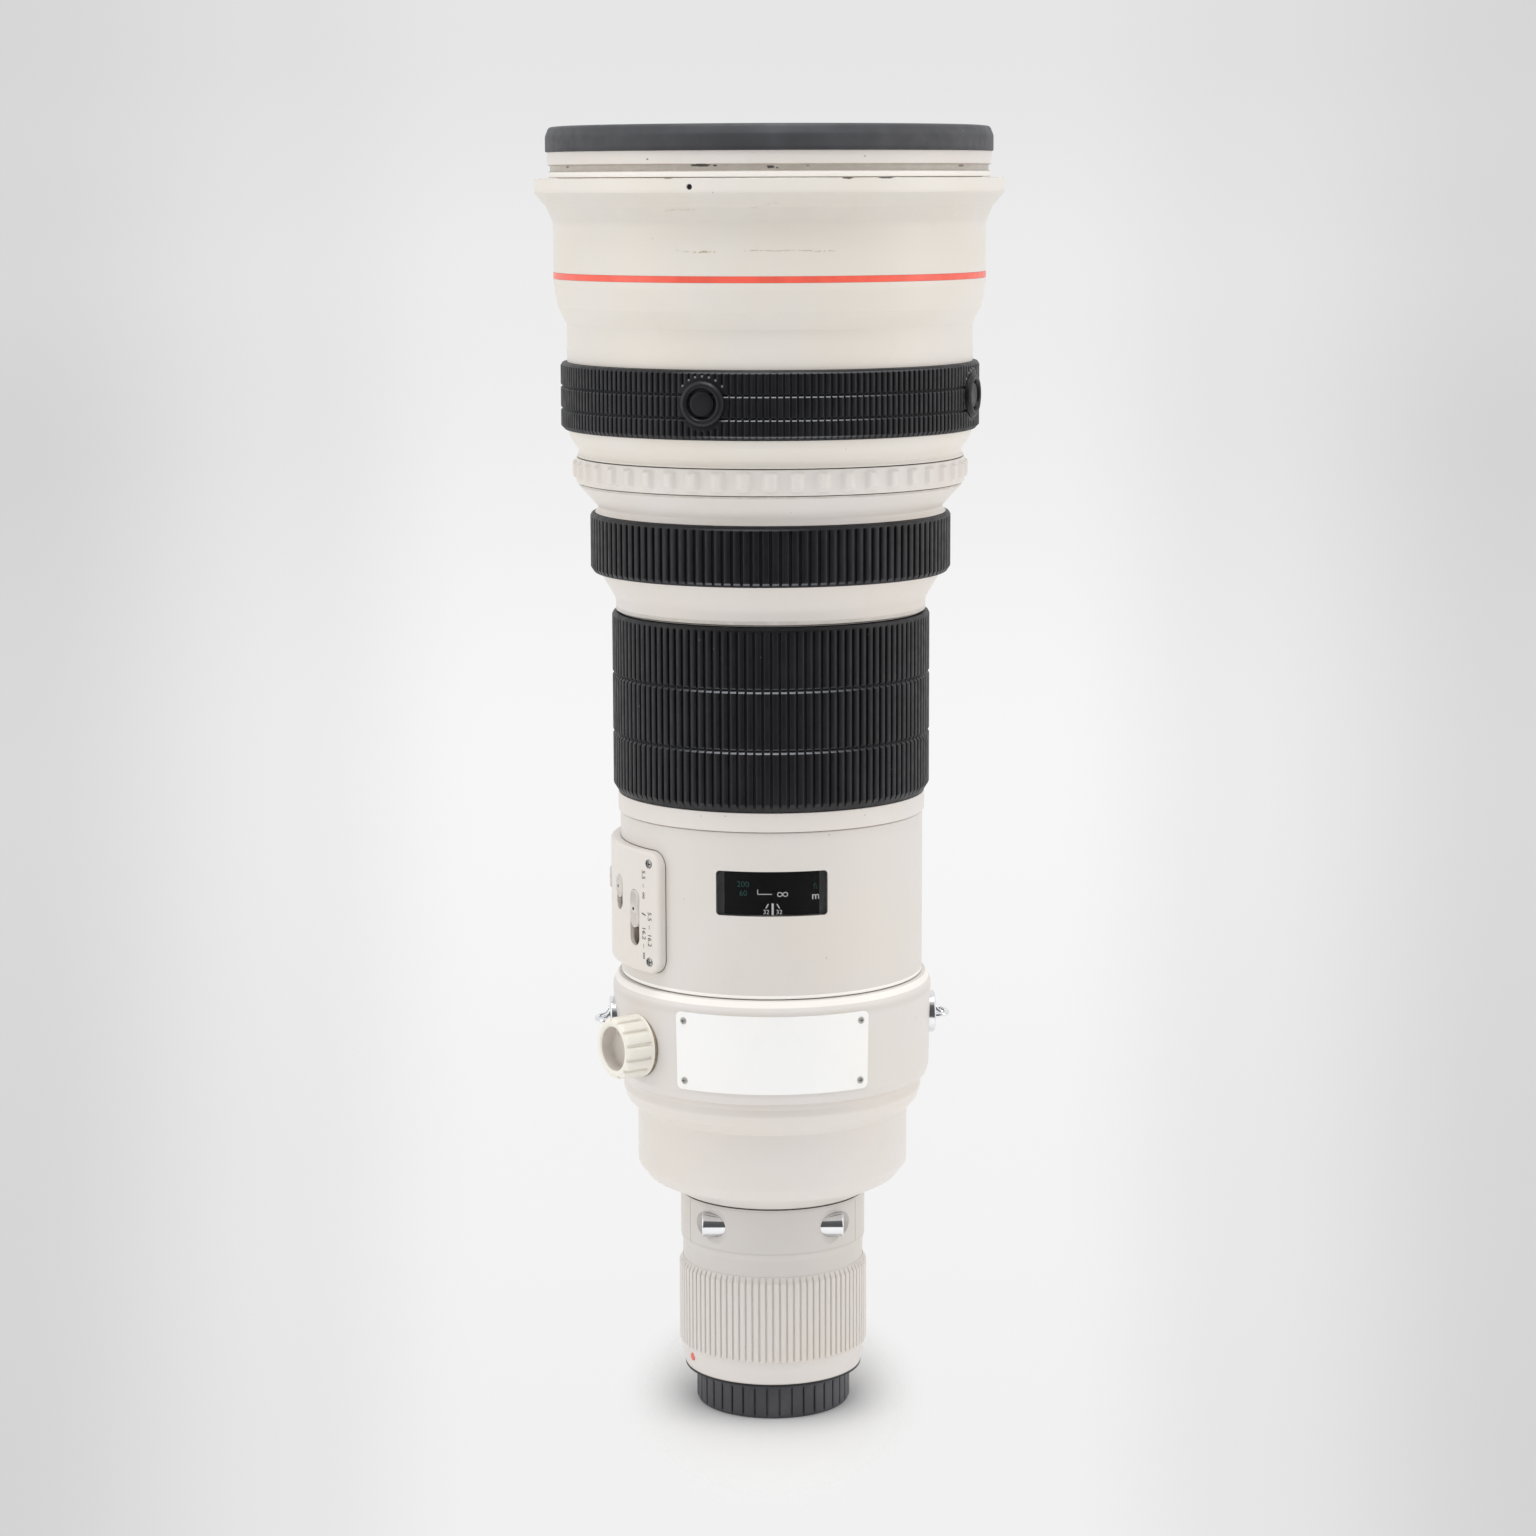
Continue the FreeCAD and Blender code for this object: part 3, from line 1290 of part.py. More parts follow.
def make_neck_barrel():
    bore = "mount_flange_radius - 0.1"
    corners = [
        ("mount_flange_radius", "mount_face"),
        ("neck_foot_radius - 1.2", "mount_face"),
        ("neck_foot_radius", "mount_face + 6"),
        ("neck_foot_radius", "sleeve_bottom"),
        ("neck_radius", "sleeve_bottom"),
        ("neck_radius", "bay_bottom - 1.5", "4"),
        ("bay_radius", "bay_bottom + 1", "4"),
        ("bay_radius", "neck_top"),
        ("spigot_radius", "neck_top"),
        ("spigot_radius", "spigot_top"),
        ("spigot_bore", "spigot_top"),
        ("spigot_bore", "holder_top + holder_clearance"),
        (bore, "holder_top + holder_clearance"),
        (bore, "bay_ledge_top"),
        ("filter_radius", "bay_ledge_top"),
        ("filter_radius", "bay_ledge_top - 2.2"),
        (bore, "bay_ledge_top - 2.2"),
        (bore, "rear_lens_top + 4"),
        ("bayonet_bore + 1.5", "rear_lens_top"),
        ("rear_lens_radius", "rear_lens_top"),
        ("rear_lens_radius", "mount_back"),
        ("mount_flange_radius", "mount_back"),
    ]
    shell = turned("neck_shell", corners)
    tools = [holder_opening("bay_opening", "holder_clearance")]
    tools += mount_screw_rods("mount_screw_hole", "mount_screw_length")
    hole = rod("dot_hole", "dot_radius", "2")
    hole.Placement = outward(number("dot_azimuth"), number("neck_foot_radius - 1.4"), dot_level())
    tools.append(hole)
    return cut("neck_barrel", shell, tools)


def dot_level():
    return number("mount_face + 5.5")


def make_index_dot():
    corners = [
        ("0", "0"),
        ("dot_radius", "0"),
        ("dot_radius", "1.4", DOME),
        ("0", "1.4 + dot_reach"),
    ]
    body = turned("index_dot", corners)
    body.Placement = outward(number("dot_azimuth"), number("neck_foot_radius - 1.4"), dot_level())
    return body


def make_ribbed_sleeve():
    corners = [
        ("neck_radius", "sleeve_bottom"),
        ("sleeve_radius", "sleeve_bottom", "edge_round"),
        ("sleeve_radius", "sleeve_top - sleeve_lip_length"),
        ("sleeve_radius + 0.2", "sleeve_top", "edge_round"),
        ("neck_radius", "sleeve_top"),
    ]
    body = turned("ribbed_sleeve_ring", corners)
    grooves = groove_cutter("sleeve_grooves", "sleeve_groove_count", "sleeve_groove_width",
                            "sleeve_radius - sleeve_groove_depth",
                            "sleeve_bottom + 1", "sleeve_length - sleeve_lip_length - 1")
    return cut("ribbed_sleeve", body, [grooves])


def make_rear_lens():
    corners = [
        ("0", "mount_back - 1"),
        ("rear_lens_radius - 2", "mount_back - 1"),
        ("rear_lens_radius - 2", "mount_back"),
        ("rear_lens_radius", "mount_back"),
        ("rear_lens_radius", "rear_lens_top", DOME),
        ("0", "rear_lens_top + 2"),
    ]
    return turned("rear_lens", corners)


def filter_button_placement(side, start):
    """A placement whose +Z points outward along the button's travel, side is -1 left or 1 right."""
    spot = Vector(side * start, -number("filter_button_offset"), number("filter_button_level"))
    return Placement(spot, Rotation(Vector(0, 1, 0), side * 90.0))


def make_filter_holder():
    """The drop-in holder: a head flush with the neck, and a tray behind it for the filter."""
    head = holder_opening("holder_head_block", "0")
    front_half = rod("holder_disc", "bay_radius", "holder_top - holder_bottom")
    front_half.Placement = Placement(Vector(0, 0, number("holder_bottom")), Rotation())
    behind = rod("holder_head_room", "filter_radius + 2.2", "bay_length")
    behind.Placement = Placement(Vector(0, 0, number("bay_bottom")), Rotation())
    outer = document.addObject("Part::MultiCommon", "holder_head_solid")
    outer.Shapes = [head, front_half]
    trim = document.addObject("Part::Box", "holder_head_trim")
    trim.setExpression("Length", bound("4 * bay_radius"))
    trim.setExpression("Width", bound("filter_radius * 0.6"))
    trim.setExpression("Height", bound("2 * bay_length"))
    trim.Placement = Placement(Vector(-number("2 * bay_radius"), -number("filter_radius * 0.6"),
                                      number("bay_bottom - bay_length / 2")), Rotation())
    head_shell = cut("holder_head", outer, [joined("holder_head_tools", [behind, trim])])
    tray_block = document.addObject("Part::Box", "holder_tray_block")
    tray_block.setExpression("Length", bound("2 * tray_half_width"))
    tray_block.setExpression("Width", bound("2 * tray_half_width"))
    tray_block.setExpression("Height", bound("tray_length"))
    tray_block.Placement = Placement(Vector(-number("tray_half_width"), -number("tray_half_width"),
                                            number("holder_bottom")), Rotation())
    tray_round = rod("holder_tray_round", "mount_flange_radius - 1", "tray_length")
    tray_round.Placement = Placement(Vector(0, 0, number("holder_bottom")), Rotation())
    tray = document.addObject("Part::MultiCommon", "holder_tray")
    tray.Shapes = [tray_block, tray_round]
    whole = joined("holder_whole", [head_shell, tray])
    seat = rod("holder_seat", "filter_radius", "tray_length + bay_length")
    seat.Placement = Placement(Vector(0, 0, number("holder_bottom + tray_length / 2 - filter_length / 2")),
                               Rotation())
    light = rod("holder_light", "filter_bore", "2 * bay_length")
    light.Placement = Placement(Vector(0, 0, number("bay_bottom - bay_length / 2")), Rotation())
    tools = [joined("holder_bores", [seat, light])]
    for name, side in (("left", -1), ("right", 1)):
        hole = rod("holder_hole_" + name, "filter_button_radius + running_fit", "filter_button_length + 12")
        start = number("filter_button_end - filter_button_length - 3")
        hole.Placement = filter_button_placement(side, start)
        scoop = document.addObject("Part::Sphere", "holder_scoop_" + name)
        scoop.setExpression("Radius", bound("scoop_radius"))
        reach = number("bay_radius + scoop_radius - scoop_depth")
        angle = math.radians(number("scoop_azimuth"))
        scoop.Placement = Placement(Vector(side * reach * math.sin(angle), -reach * math.cos(angle),
                                           number("filter_button_level")), Rotation())
        tools += [hole, scoop]
    return cut("filter_holder", whole, tools)


def make_filter_glass():
    return ring("filter_glass", "0", "filter_radius", "holder_bottom + tray_length / 2 - filter_length / 2",
                "holder_bottom + tray_length / 2 + filter_length / 2")


def make_filter_button(label, side):
    corners = [
        ("0", "0"),
        ("filter_button_radius", "0"),
        ("filter_button_radius", "filter_button_length", "0.6"),
        ("0", "filter_button_length"),
    ]
    body = turned(label, corners)
    body.Placement = filter_button_placement(side, number("filter_button_end - filter_button_length"))
    return body


def mount_screw_rods(name, length):
    rods = []
    for i in range(int(number("mount_screw_count"))):
        azimuth = 45 + i * FULL_TURN / number("mount_screw_count")
        made = rod("%s_%d" % (name, i + 1), "mount_screw_radius", length)
        spot = facing(azimuth).multVec(Vector(number("mount_screw_circle"), 0, number("mount_face")))
        made.Placement = Placement(spot, Rotation())
        rods.append(made)
    return rods


def make_mount_ring():
    corners = [
        ("bayonet_bore", "bayonet_bottom"),
        ("bayonet_tube_radius", "bayonet_bottom"),
        ("bayonet_tube_radius", "mount_face"),
        ("mount_flange_radius", "mount_face"),
        ("mount_flange_radius", "mount_back"),
        ("rear_lens_radius", "mount_back"),
        ("rear_lens_radius", "mount_back - 1"),
        ("bayonet_bore", "mount_back - 1"),
    ]
    body = turned("mount_ring_body", corners)
    lugged(body, "mount_lugs", "bayonet_count", "bayonet_tube_radius - 0.5", "bayonet_lug_radius",
           "bayonet_bottom", "bayonet_lug_top", "bayonet_lug_angle")
    return cut("mount_ring", body, mount_screw_rods("mount_ring_hole", "mount_flange_length"))


def make_mount_screws():
    screws = mount_screw_rods("mount_screw", "mount_screw_length")
    return gathered("mount_screws", screws)


def make_mount_gasket():
    corners = [
        ("mount_flange_radius", "mount_face - gasket_drop"),
        ("gasket_radius", "mount_face - gasket_drop", "0.3"),
        ("gasket_radius", "mount_face"),
        ("mount_flange_radius", "mount_face"),
    ]
    return turned("mount_gasket", corners)


def make_contact_block():
    body = ring("contact_block", "bayonet_bore - contact_block_depth", "bayonet_bore",
                "bayonet_bottom + 0.6", "bayonet_bottom + 0.6 + contact_block_length",
                "contact_block_angle")
    body.Placement = Placement(Vector(0, 0, 0), facing(180))
    return body


def make_contact_pins():
    pins = []
    count = int(number("contact_pin_count"))
    for i in range(count):
        azimuth = 180 + (i - (count - 1) / 2) * number("contact_pin_pitch")
        pin = rod("contact_pin_%d" % (i + 1), "contact_pin_radius", "contact_pin_reach")
        distance = number("bayonet_bore - contact_block_depth / 2")
        level = number("bayonet_bottom + 0.6 - contact_pin_reach")
        pin.Placement = Placement(facing(azimuth).multVec(Vector(distance, 0, level)), Rotation())
        pins.append(pin)
    return gathered("contact_pins", pins)


def make_rear_cap():
    lug_inner = "bayonet_tube_radius + running_gap"
    lug_bottom = "bayonet_lug_top + running_gap"
    corners = [
        ("0", "0"),
        ("cap_radius", "0", "1"),
        ("cap_radius", "cap_length", "edge_round"),
        ("cap_radius - cap_wall", "cap_length"),
        ("cap_radius - cap_wall", "cap_floor"),
        ("0", "cap_floor"),
    ]
    body = turned("rear_cap", corners)
    lugged(body, "cap_lugs", "bayonet_count", lug_inner, "cap_radius - cap_wall / 2",
           lug_bottom, lug_bottom + " + bayonet_lug_length", "bayonet_lug_angle - 2")
    grooved(body, "cap_grooves", "cap_groove_count", "cap_groove_width",
            "cap_radius - cap_groove_depth", "cap_radius", "1.6", "cap_length - 2.6")
    return body


# Inside of the lens
def make_inner_tube():
    shell = ring("inner_tube_shell", "tube_bore", "tube_radius", "tube_bottom", "tube_top")
    slots = []
    for i in range(int(number("key_count"))):
        azimuth = 60 + i * FULL_TURN / number("key_count")
        slots.append(block("key_slot_%d" % (i + 1), "3 * tube_wall", "key_slot_width", "key_slot_length",
                           "tube_bore - tube_wall", "focus_flange_top + 4", azimuth))
    return cut("inner_tube", shell, slots)


def make_rollers():
    """Small rollers, on radial axes, between the rotor's face and the focus ring's face."""
    rollers = []
    for i in range(int(number("roller_count"))):
        roller = ring("roller_%d" % (i + 1), "roller_pin_radius", "roller_radius", "0", "roller_length")
        azimuth = i * FULL_TURN / number("roller_count")
        roller.Placement = outward(azimuth, number("tube_radius + 3"), number("roller_height"))
        rollers.append(roller)
    return gathered("rollers", rollers)


def make_roller_ring():
    """The ring that carries the rollers in windows, and the scale drum on its rim."""
    plate = ring("roller_ring_plate", "tube_radius + running_fit", "drum_radius",
                 "roller_ring_bottom", "roller_ring_top")
    windows = []
    for i in range(int(number("roller_count"))):
        azimuth = i * FULL_TURN / number("roller_count")
        windows.append(block("roller_window_%d" % (i + 1), "roller_length + 0.2", "2 * roller_radius + 0.2",
                             "4 * roller_radius", "tube_radius + 2.9",
                             "roller_height - 2 * roller_radius", azimuth))
    pierced = cut("roller_ring_pierced", plate, windows)
    pins = []
    for i in range(int(number("roller_count"))):
        pin = rod("roller_pin_%d" % (i + 1), "roller_pin_radius", "roller_length + 1.4")
        azimuth = i * FULL_TURN / number("roller_count")
        pin.Placement = outward(azimuth, number("tube_radius + 2.3"), number("roller_height"))
        pins.append(pin)
    return joined("roller_ring", [pierced] + pins)


def make_focus_cell():
    """The cell of the focusing lens, with a key for each slot of the inner tube."""
    corners = [
        ("cell_radius - cell_wall", "cell_bottom"),
        ("cell_radius", "cell_bottom"),
        ("cell_radius", "cell_bottom + cell_length"),
        ("cell_radius - cell_wall", "cell_bottom + cell_length"),
    ]
    shell = turned("focus_cell_shell", corners)
    keys = []
    for i in range(int(number("key_count"))):
        azimuth = 60 + i * FULL_TURN / number("key_count")
        key = rod("focus_key_%d" % (i + 1), "key_slot_width / 2 - 0.1", "tube_wall + 1.5")
        key.Placement = outward(azimuth, number("cell_radius") - 1, number("cell_bottom + 5"))
        keys.append(key)
    return joined("focus_cell", [shell] + keys)


def make_focus_lens():
    corners = [
        ("0", "cell_bottom + 5", DOME),
        ("cell_radius - cell_wall", "cell_bottom + 7"),
        ("cell_radius - cell_wall", "cell_bottom + 7 + focus_lens_length"),
        ("0", "cell_bottom + 7 + focus_lens_length"),
    ]
    return turned("focus_lens", corners)


def make_iris_unit():
    corners = [
        ("iris_bore", "iris_bottom"),
        ("rear_bore", "iris_bottom"),
        ("rear_bore", "iris_bottom + iris_length"),
        ("iris_bore", "iris_bottom + iris_length"),
    ]
    return turned("iris_unit", corners)


def carriage_bottom():
    return "unit_bottom + 7"


def make_stabiliser_unit():
    low = carriage_bottom() + " - layer_gap"
    high = carriage_bottom() + " + 2 * carriage_thickness + 2 * layer_gap"
    corners = [
        ("unit_bore", "unit_bottom"),
        ("unit_radius", "unit_bottom"),
        ("unit_radius", "unit_bottom + unit_length"),
        ("unit_bore", "unit_bottom + unit_length"),
        ("unit_bore", high),
        ("unit_cavity_radius", high),
        ("unit_cavity_radius", low),
        ("unit_bore", low),
    ]
    return turned("stabiliser_unit", corners)


def make_stabiliser_carriage():
    bottom = carriage_bottom()
    return ring("stabiliser_carriage", "carriage_bore", "carriage_radius", bottom,
                bottom + " + carriage_thickness")


def make_stabiliser_lens():
    bottom = carriage_bottom() + " + carriage_thickness + layer_gap"
    corners = [
        ("0", bottom + " - 2", DOME),
        ("stabiliser_lens_radius", bottom + " - 1"),
        ("stabiliser_lens_radius", bottom),
        ("stabiliser_frame_radius", bottom),
        ("stabiliser_frame_radius", bottom + " + carriage_thickness"),
        ("0", bottom + " + carriage_thickness"),
    ]
    return turned("stabiliser_lens", corners)


def build():
    """Makes every sub-part and returns them."""
    parts = [
        make_front_bumper(),
        make_hood_seat(),
        make_front_glass(),
        make_front_lens(),
        make_front_barrel(),
        make_flange_screws(),
        make_red_line(),
        make_stop_rubber(),
        make_playback_ring(),
        make_mid_barrel(),
        make_grip_rubber(),
        make_focus_sleeve(),
        make_focus_rubber(),
        make_main_barrel(),
        make_window_pane(),
        make_switch_panel(),
        make_panel_screws(),
        make_set_button(),
        make_collar_ring(),
        make_nameplate(),
        make_nameplate_screws(),
        make_strap_lugs(),
        make_tripod_foot(),
        make_lock_knob(),
        make_clamp_shoe(),
        make_rear_barrel(),
        make_neck_barrel(),
        make_index_dot(),
        make_ribbed_sleeve(),
        make_rear_lens(),
        make_filter_holder(),
        make_filter_glass(),
        make_filter_button("filter_button_left", -1),
        make_filter_button("filter_button_right", 1),
        make_mount_ring(),
        make_mount_screws(),
        make_mount_gasket(),
        make_contact_block(),
        make_contact_pins(),
        make_rear_cap(),
        make_inner_tube(),
        make_rollers(),
        make_roller_ring(),
        make_focus_cell(),
        make_focus_lens(),
        make_iris_unit(),
        make_stabiliser_unit(),
        make_stabiliser_carriage(),
        make_stabiliser_lens(),
        ring("motor_stator", "tube_radius", "stator_radius", "stator_bottom",
             "stator_bottom + stator_length"),
        ring("motor_rotor", "tube_radius + running_fit", "stator_radius", "rotor_bottom", "rotor_top"),
        ring("scale_drum", "drum_radius - drum_wall", "drum_radius", "drum_bottom", "drum_top"),
        ring("main_board", "tube_radius + 1", "main_bore - running_gap", "main_spigot_top",
             "main_spigot_top + board_thickness"),
    ]
    slot_floor = "panel_low - panel_bottom + "
    parts.append(make_slider("range_slider", "range_azimuth", slot_floor + "range_bottom",
                             "range_length", "range_travel"))
    parts.append(make_slider("mode_slider", "mode_azimuth", slot_floor + "mode_bottom",
                             "mode_length", "mode_travel"))
    parts.append(make_slider("stabiliser_slider", "stabiliser_azimuth", slot_floor + "mode_bottom",
                             "mode_length", "mode_travel"))
    for i, azimuth in enumerate(stop_button_azimuths()):
        parts.append(make_stop_button(i, azimuth))
    return parts


def check(parts):
    """Stops if any object failed to recompute or any sub-part is not a sound solid."""
    for thing in document.Objects:
        if "Invalid" in thing.State or "Error" in thing.State:
            raise RuntimeError("%s failed: %s" % (thing.Name, thing.State))
    for part in parts:
        shape = part.Shape
        if shape.isNull() or not shape.isValid() or not shape.Solids:
            raise RuntimeError(part.Label + " is not a sound solid")


def write(parts):
    os.makedirs("parts", exist_ok=True)
    for part in parts:
        part.Shape.exportStep("parts/%s.step" % part.Label)


fill_sheets()
PARTS = build()
document.recompute()
check(PARTS)
write(PARTS)
print(len(PARTS), "sub-parts written")
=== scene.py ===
import bmesh
import bpy
from math import cos, degrees, hypot, pi, radians, sin, sqrt, tan
from mathutils import Matrix, Vector


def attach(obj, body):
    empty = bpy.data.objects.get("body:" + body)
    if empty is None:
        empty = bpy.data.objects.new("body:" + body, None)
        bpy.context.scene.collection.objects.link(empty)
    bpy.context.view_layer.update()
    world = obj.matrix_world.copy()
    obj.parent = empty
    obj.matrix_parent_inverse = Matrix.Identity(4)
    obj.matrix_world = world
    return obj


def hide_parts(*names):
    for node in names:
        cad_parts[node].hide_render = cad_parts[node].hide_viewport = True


# A super telephoto lens standing on its rear cap in a pale studio.
# Pieces are made in millimetres and scaled to metres. Azimuth 0 faces the camera and 90 faces +X.

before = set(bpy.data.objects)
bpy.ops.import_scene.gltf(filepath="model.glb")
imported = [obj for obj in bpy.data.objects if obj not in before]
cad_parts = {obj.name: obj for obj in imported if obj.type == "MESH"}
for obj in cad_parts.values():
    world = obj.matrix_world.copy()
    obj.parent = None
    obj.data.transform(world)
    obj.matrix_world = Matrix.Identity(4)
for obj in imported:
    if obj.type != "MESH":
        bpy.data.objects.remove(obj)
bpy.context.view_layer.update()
MM = 0.001
FULL = 2 * pi
TINY = 1e-6
RING_COLUMNS = 384


# Outlines and meshes
def rounded(corners, soft, steps=5):
    """The closed outline with round corners. A corner is (across, up) or (across, up, round)."""
    path = []
    count = len(corners)
    for i, corner in enumerate(corners):
        here = Vector(corner[:2])
        radius = corner[2] if len(corner) > 2 else soft
        if radius <= 0 or abs(here.x) < TINY:
            path.append(here)
            continue
        back = Vector(corners[i - 1][:2]) - here
        onward = Vector(corners[(i + 1) % count][:2]) - here
        half = back.angle(onward) / 2
        trim = min(radius / tan(half), 0.45 * back.length, 0.45 * onward.length)
        start = here + back.normalized() * trim
        end = here + onward.normalized() * trim
        for k in range(steps + 1):
            t = k / steps
            path.append(start.lerp(here, t).lerp(here.lerp(end, t), t))
    return path


def divided(path, rows):
    """The outline with points added where it crosses each of the given heights."""
    out = []
    for i, here in enumerate(path):
        after = path[(i + 1) % len(path)]
        out.append(here)
        rise = after.y - here.y
        if abs(rise) < TINY:
            continue
        cuts = sorted((z - here.y) / rise for z in rows)
        out += [here.lerp(after, t) for t in cuts if 1e-3 < t < 1 - 1e-3]
    return out


def shown_as(name, data):
    """A new object of the scene that shows the data."""
    piece = bpy.data.objects.new(name, data)
    bpy.context.scene.collection.objects.link(piece)
    return piece


def from_lists(name, points, faces, place=None):
    """A smooth mesh object from points in millimetres."""
    mesh = bpy.data.meshes.new(name)
    mesh.from_pydata([Vector(p) * MM for p in points], [], faces)
    work = bmesh.new()
    work.from_mesh(mesh)
    bmesh.ops.remove_doubles(work, verts=work.verts, dist=1e-7)
    bmesh.ops.recalc_face_normals(work, faces=work.faces)
    work.to_mesh(mesh)
    work.free()
    if place is not None:
        mesh.transform(place)
    mesh.shade_smooth()
    mesh.set_sharp_from_angle(angle=radians(38))
    return shown_as(name, mesh)


def polar(reach, angle):
    return reach * cos(angle), reach * sin(angle)


def on_ring(radius, angle, up):
    """A point at an angle about the axis, measured from the side that faces the camera."""
    return radius * sin(angle), -radius * cos(angle), up


def turn_from(azimuth, angle):
    """How far an angle lies from an azimuth, from minus to plus half a turn."""
    return (angle - radians(azimuth) + pi) % FULL - pi


def quads(rows, columns, rows_close=False, columns_close=True):
    """The faces between neighbouring rows of points."""
    faces = []
    for i in range(rows if rows_close else rows - 1):
        here = i * columns
        above = (i + 1) % rows * columns
        for j in range(columns if columns_close else columns - 1):
            right = (j + 1) % columns
            faces.append((here + j, here + right, above + right, above + j))
    return faces


def rib_columns(count, groove, bevel, offset=0):
    """Columns of a ribbed ring: an angle, and how deep into a groove it lies, from 0 to 1."""
    pitch = FULL / count
    half = groove / 2
    stops = ((-0.5, 0), (-half - bevel, 0), (-half, 0.22), (-half * 0.66, 1),
             (half * 0.66, 1), (half, 0.22), (half + bevel, 0))
    return [(offset + (i + share) * pitch, depth) for i in range(count) for share, depth in stops]


def spun(name, looks, node, corners, columns=RING_COLUMNS, relief=None, soft=0.12, rows=None, place=None,
         steps=5, **given):
    """A dressed ring: a closed outline of (radius, height) corners turned about the axis, with a relief."""
    if isinstance(columns, int):
        columns = [(FULL * i / columns, 0) for i in range(columns)]
    path = divided(rounded(corners, soft, steps), steps_between(*rows) if rows else ())
    points = []
    for across, up in path:
        for angle, share in columns:
            radius = relief(across, up, angle, share) if relief else across
            points.append(on_ring(radius, angle, up))
    width = len(columns)
    on_axis = [abs(here.x) < TINY for here in path]
    faces = [face for face in quads(len(path), width, rows_close=True)
             if not (on_axis[face[0] // width] and on_axis[face[2] // width])]
    return dressed(from_lists(name, points, faces, place), looks, node, **given)


def smooth_step(low, high, value):
    t = min(max((value - low) / (high - low), 0), 1)
    return t * t * (3 - 2 * t)


def between(low, high, fade, value):
    """1 between two values, fading to 0 just inside them."""
    return smooth_step(low, low + fade, value) * (1 - smooth_step(high - fade, high, value))


def grooves(top_radius, depth, low, high, fade, spared=()):
    """A relief of grooves between two heights, except at round places."""
    def relief(across, up, angle, share):
        if across < top_radius - 1.9 or share <= 0:
            return across
        reach = between(low, high, fade, up)
        for azimuth, height, size in spared:
            away = hypot(turn_from(azimuth, angle) * top_radius, up - height)
            reach *= smooth_step(size - 0.35, size + 0.1, away)
        return min(across, top_radius - depth * share * reach) if reach > 0 else across
    return relief


def steps_between(low, high, step):
    count = max(1, round((high - low) / step))
    return [low + (high - low) * i / count for i in range(count + 1)]


def outward(azimuth, distance, height):
    """A placement with its own +Z pointing away from the axis, for a mesh already in metres."""
    turn = Matrix.Rotation(radians(azimuth - 90), 4, "Z")
    shift = Matrix.Translation(Vector((distance, 0, height)) * MM)
    return turn @ shift @ Matrix.Rotation(radians(90), 4, "Y")


def dressed(piece, looks, node=None, body="barrel", slot="white_paint"):
    """Gives a piece its materials and its body, and hides the CAD node that it stands for. The slot argument
    is not used.
    """
    for look in looks if isinstance(looks, (list, tuple)) else [looks]:
        piece.data.materials.append(look)
    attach(piece, body)
    if node:
        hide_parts(node)
    return piece


def inner_faces(piece, below_radius):
    """Gives faces nearer the axis than a radius, and turned towards it, the piece's second material."""
    for face in piece.data.polygons:
        centre = face.center
        radius = hypot(centre.x, centre.y)
        towards = (face.normal.x * centre.x + face.normal.y * centre.y) / max(radius, 1e-9)
        if radius < below_radius * MM and towards < 0.3:
            face.material_index = 1


# Materials
class Nodes:
    """A tree of nodes. A value is a number, a colour or a socket."""

    def __init__(self, tree):
        self.tree = tree

    def new(self, kind):
        return self.tree.nodes.new("ShaderNode" + kind)

    def feed(self, socket, value):
        if isinstance(value, bpy.types.NodeSocket):
            self.tree.links.new(value, socket)
        else:
            socket.default_value = value

    def math(self, operation, first, second=0):
        node = self.new("Math")
        node.operation = operation
        self.feed(node.inputs[0], first)
        self.feed(node.inputs[1], second)
        return node.outputs[0]

    def times(self, *values):
        result = values[0]
        for value in values[1:]:
            result = self.math("MULTIPLY", result, value)
        return result

    def mixed(self, mask, first, second, blend="MIX"):
        node = self.new("Mix")
        node.data_type = "RGBA"
        node.blend_type = blend
        self.feed(node.inputs["Factor"], mask)
        for socket, value in ((node.inputs[6], first), (node.inputs[7], second)):
            self.feed(socket, value if isinstance(value, bpy.types.NodeSocket) else (*value, 1))
        return node.outputs[2]

    def grey_ramp(self, value, *stops):
        """A grey that follows the given (position, level) stops."""
        node = self.new("ValToRGB")
        node.color_ramp.interpolation = "EASE"
        elements = node.color_ramp.elements
        while len(elements) < len(stops):
            elements.new(0.5)
        for element, (position, level) in zip(elements, stops):
            element.position = position
            element.color = (level, level, level, 1)
        self.feed(node.inputs["Fac"], value)
        return node.outputs["Color"]

    def rays(self):
        """Two masks: what the camera sees straight, and what is mirrored or seen through glass."""
        path = self.new("LightPath")
        mirrored = self.math("MAXIMUM", path.outputs["Is Glossy Ray"], path.outputs["Is Transmission Ray"])
        return path.outputs["Is Camera Ray"], mirrored


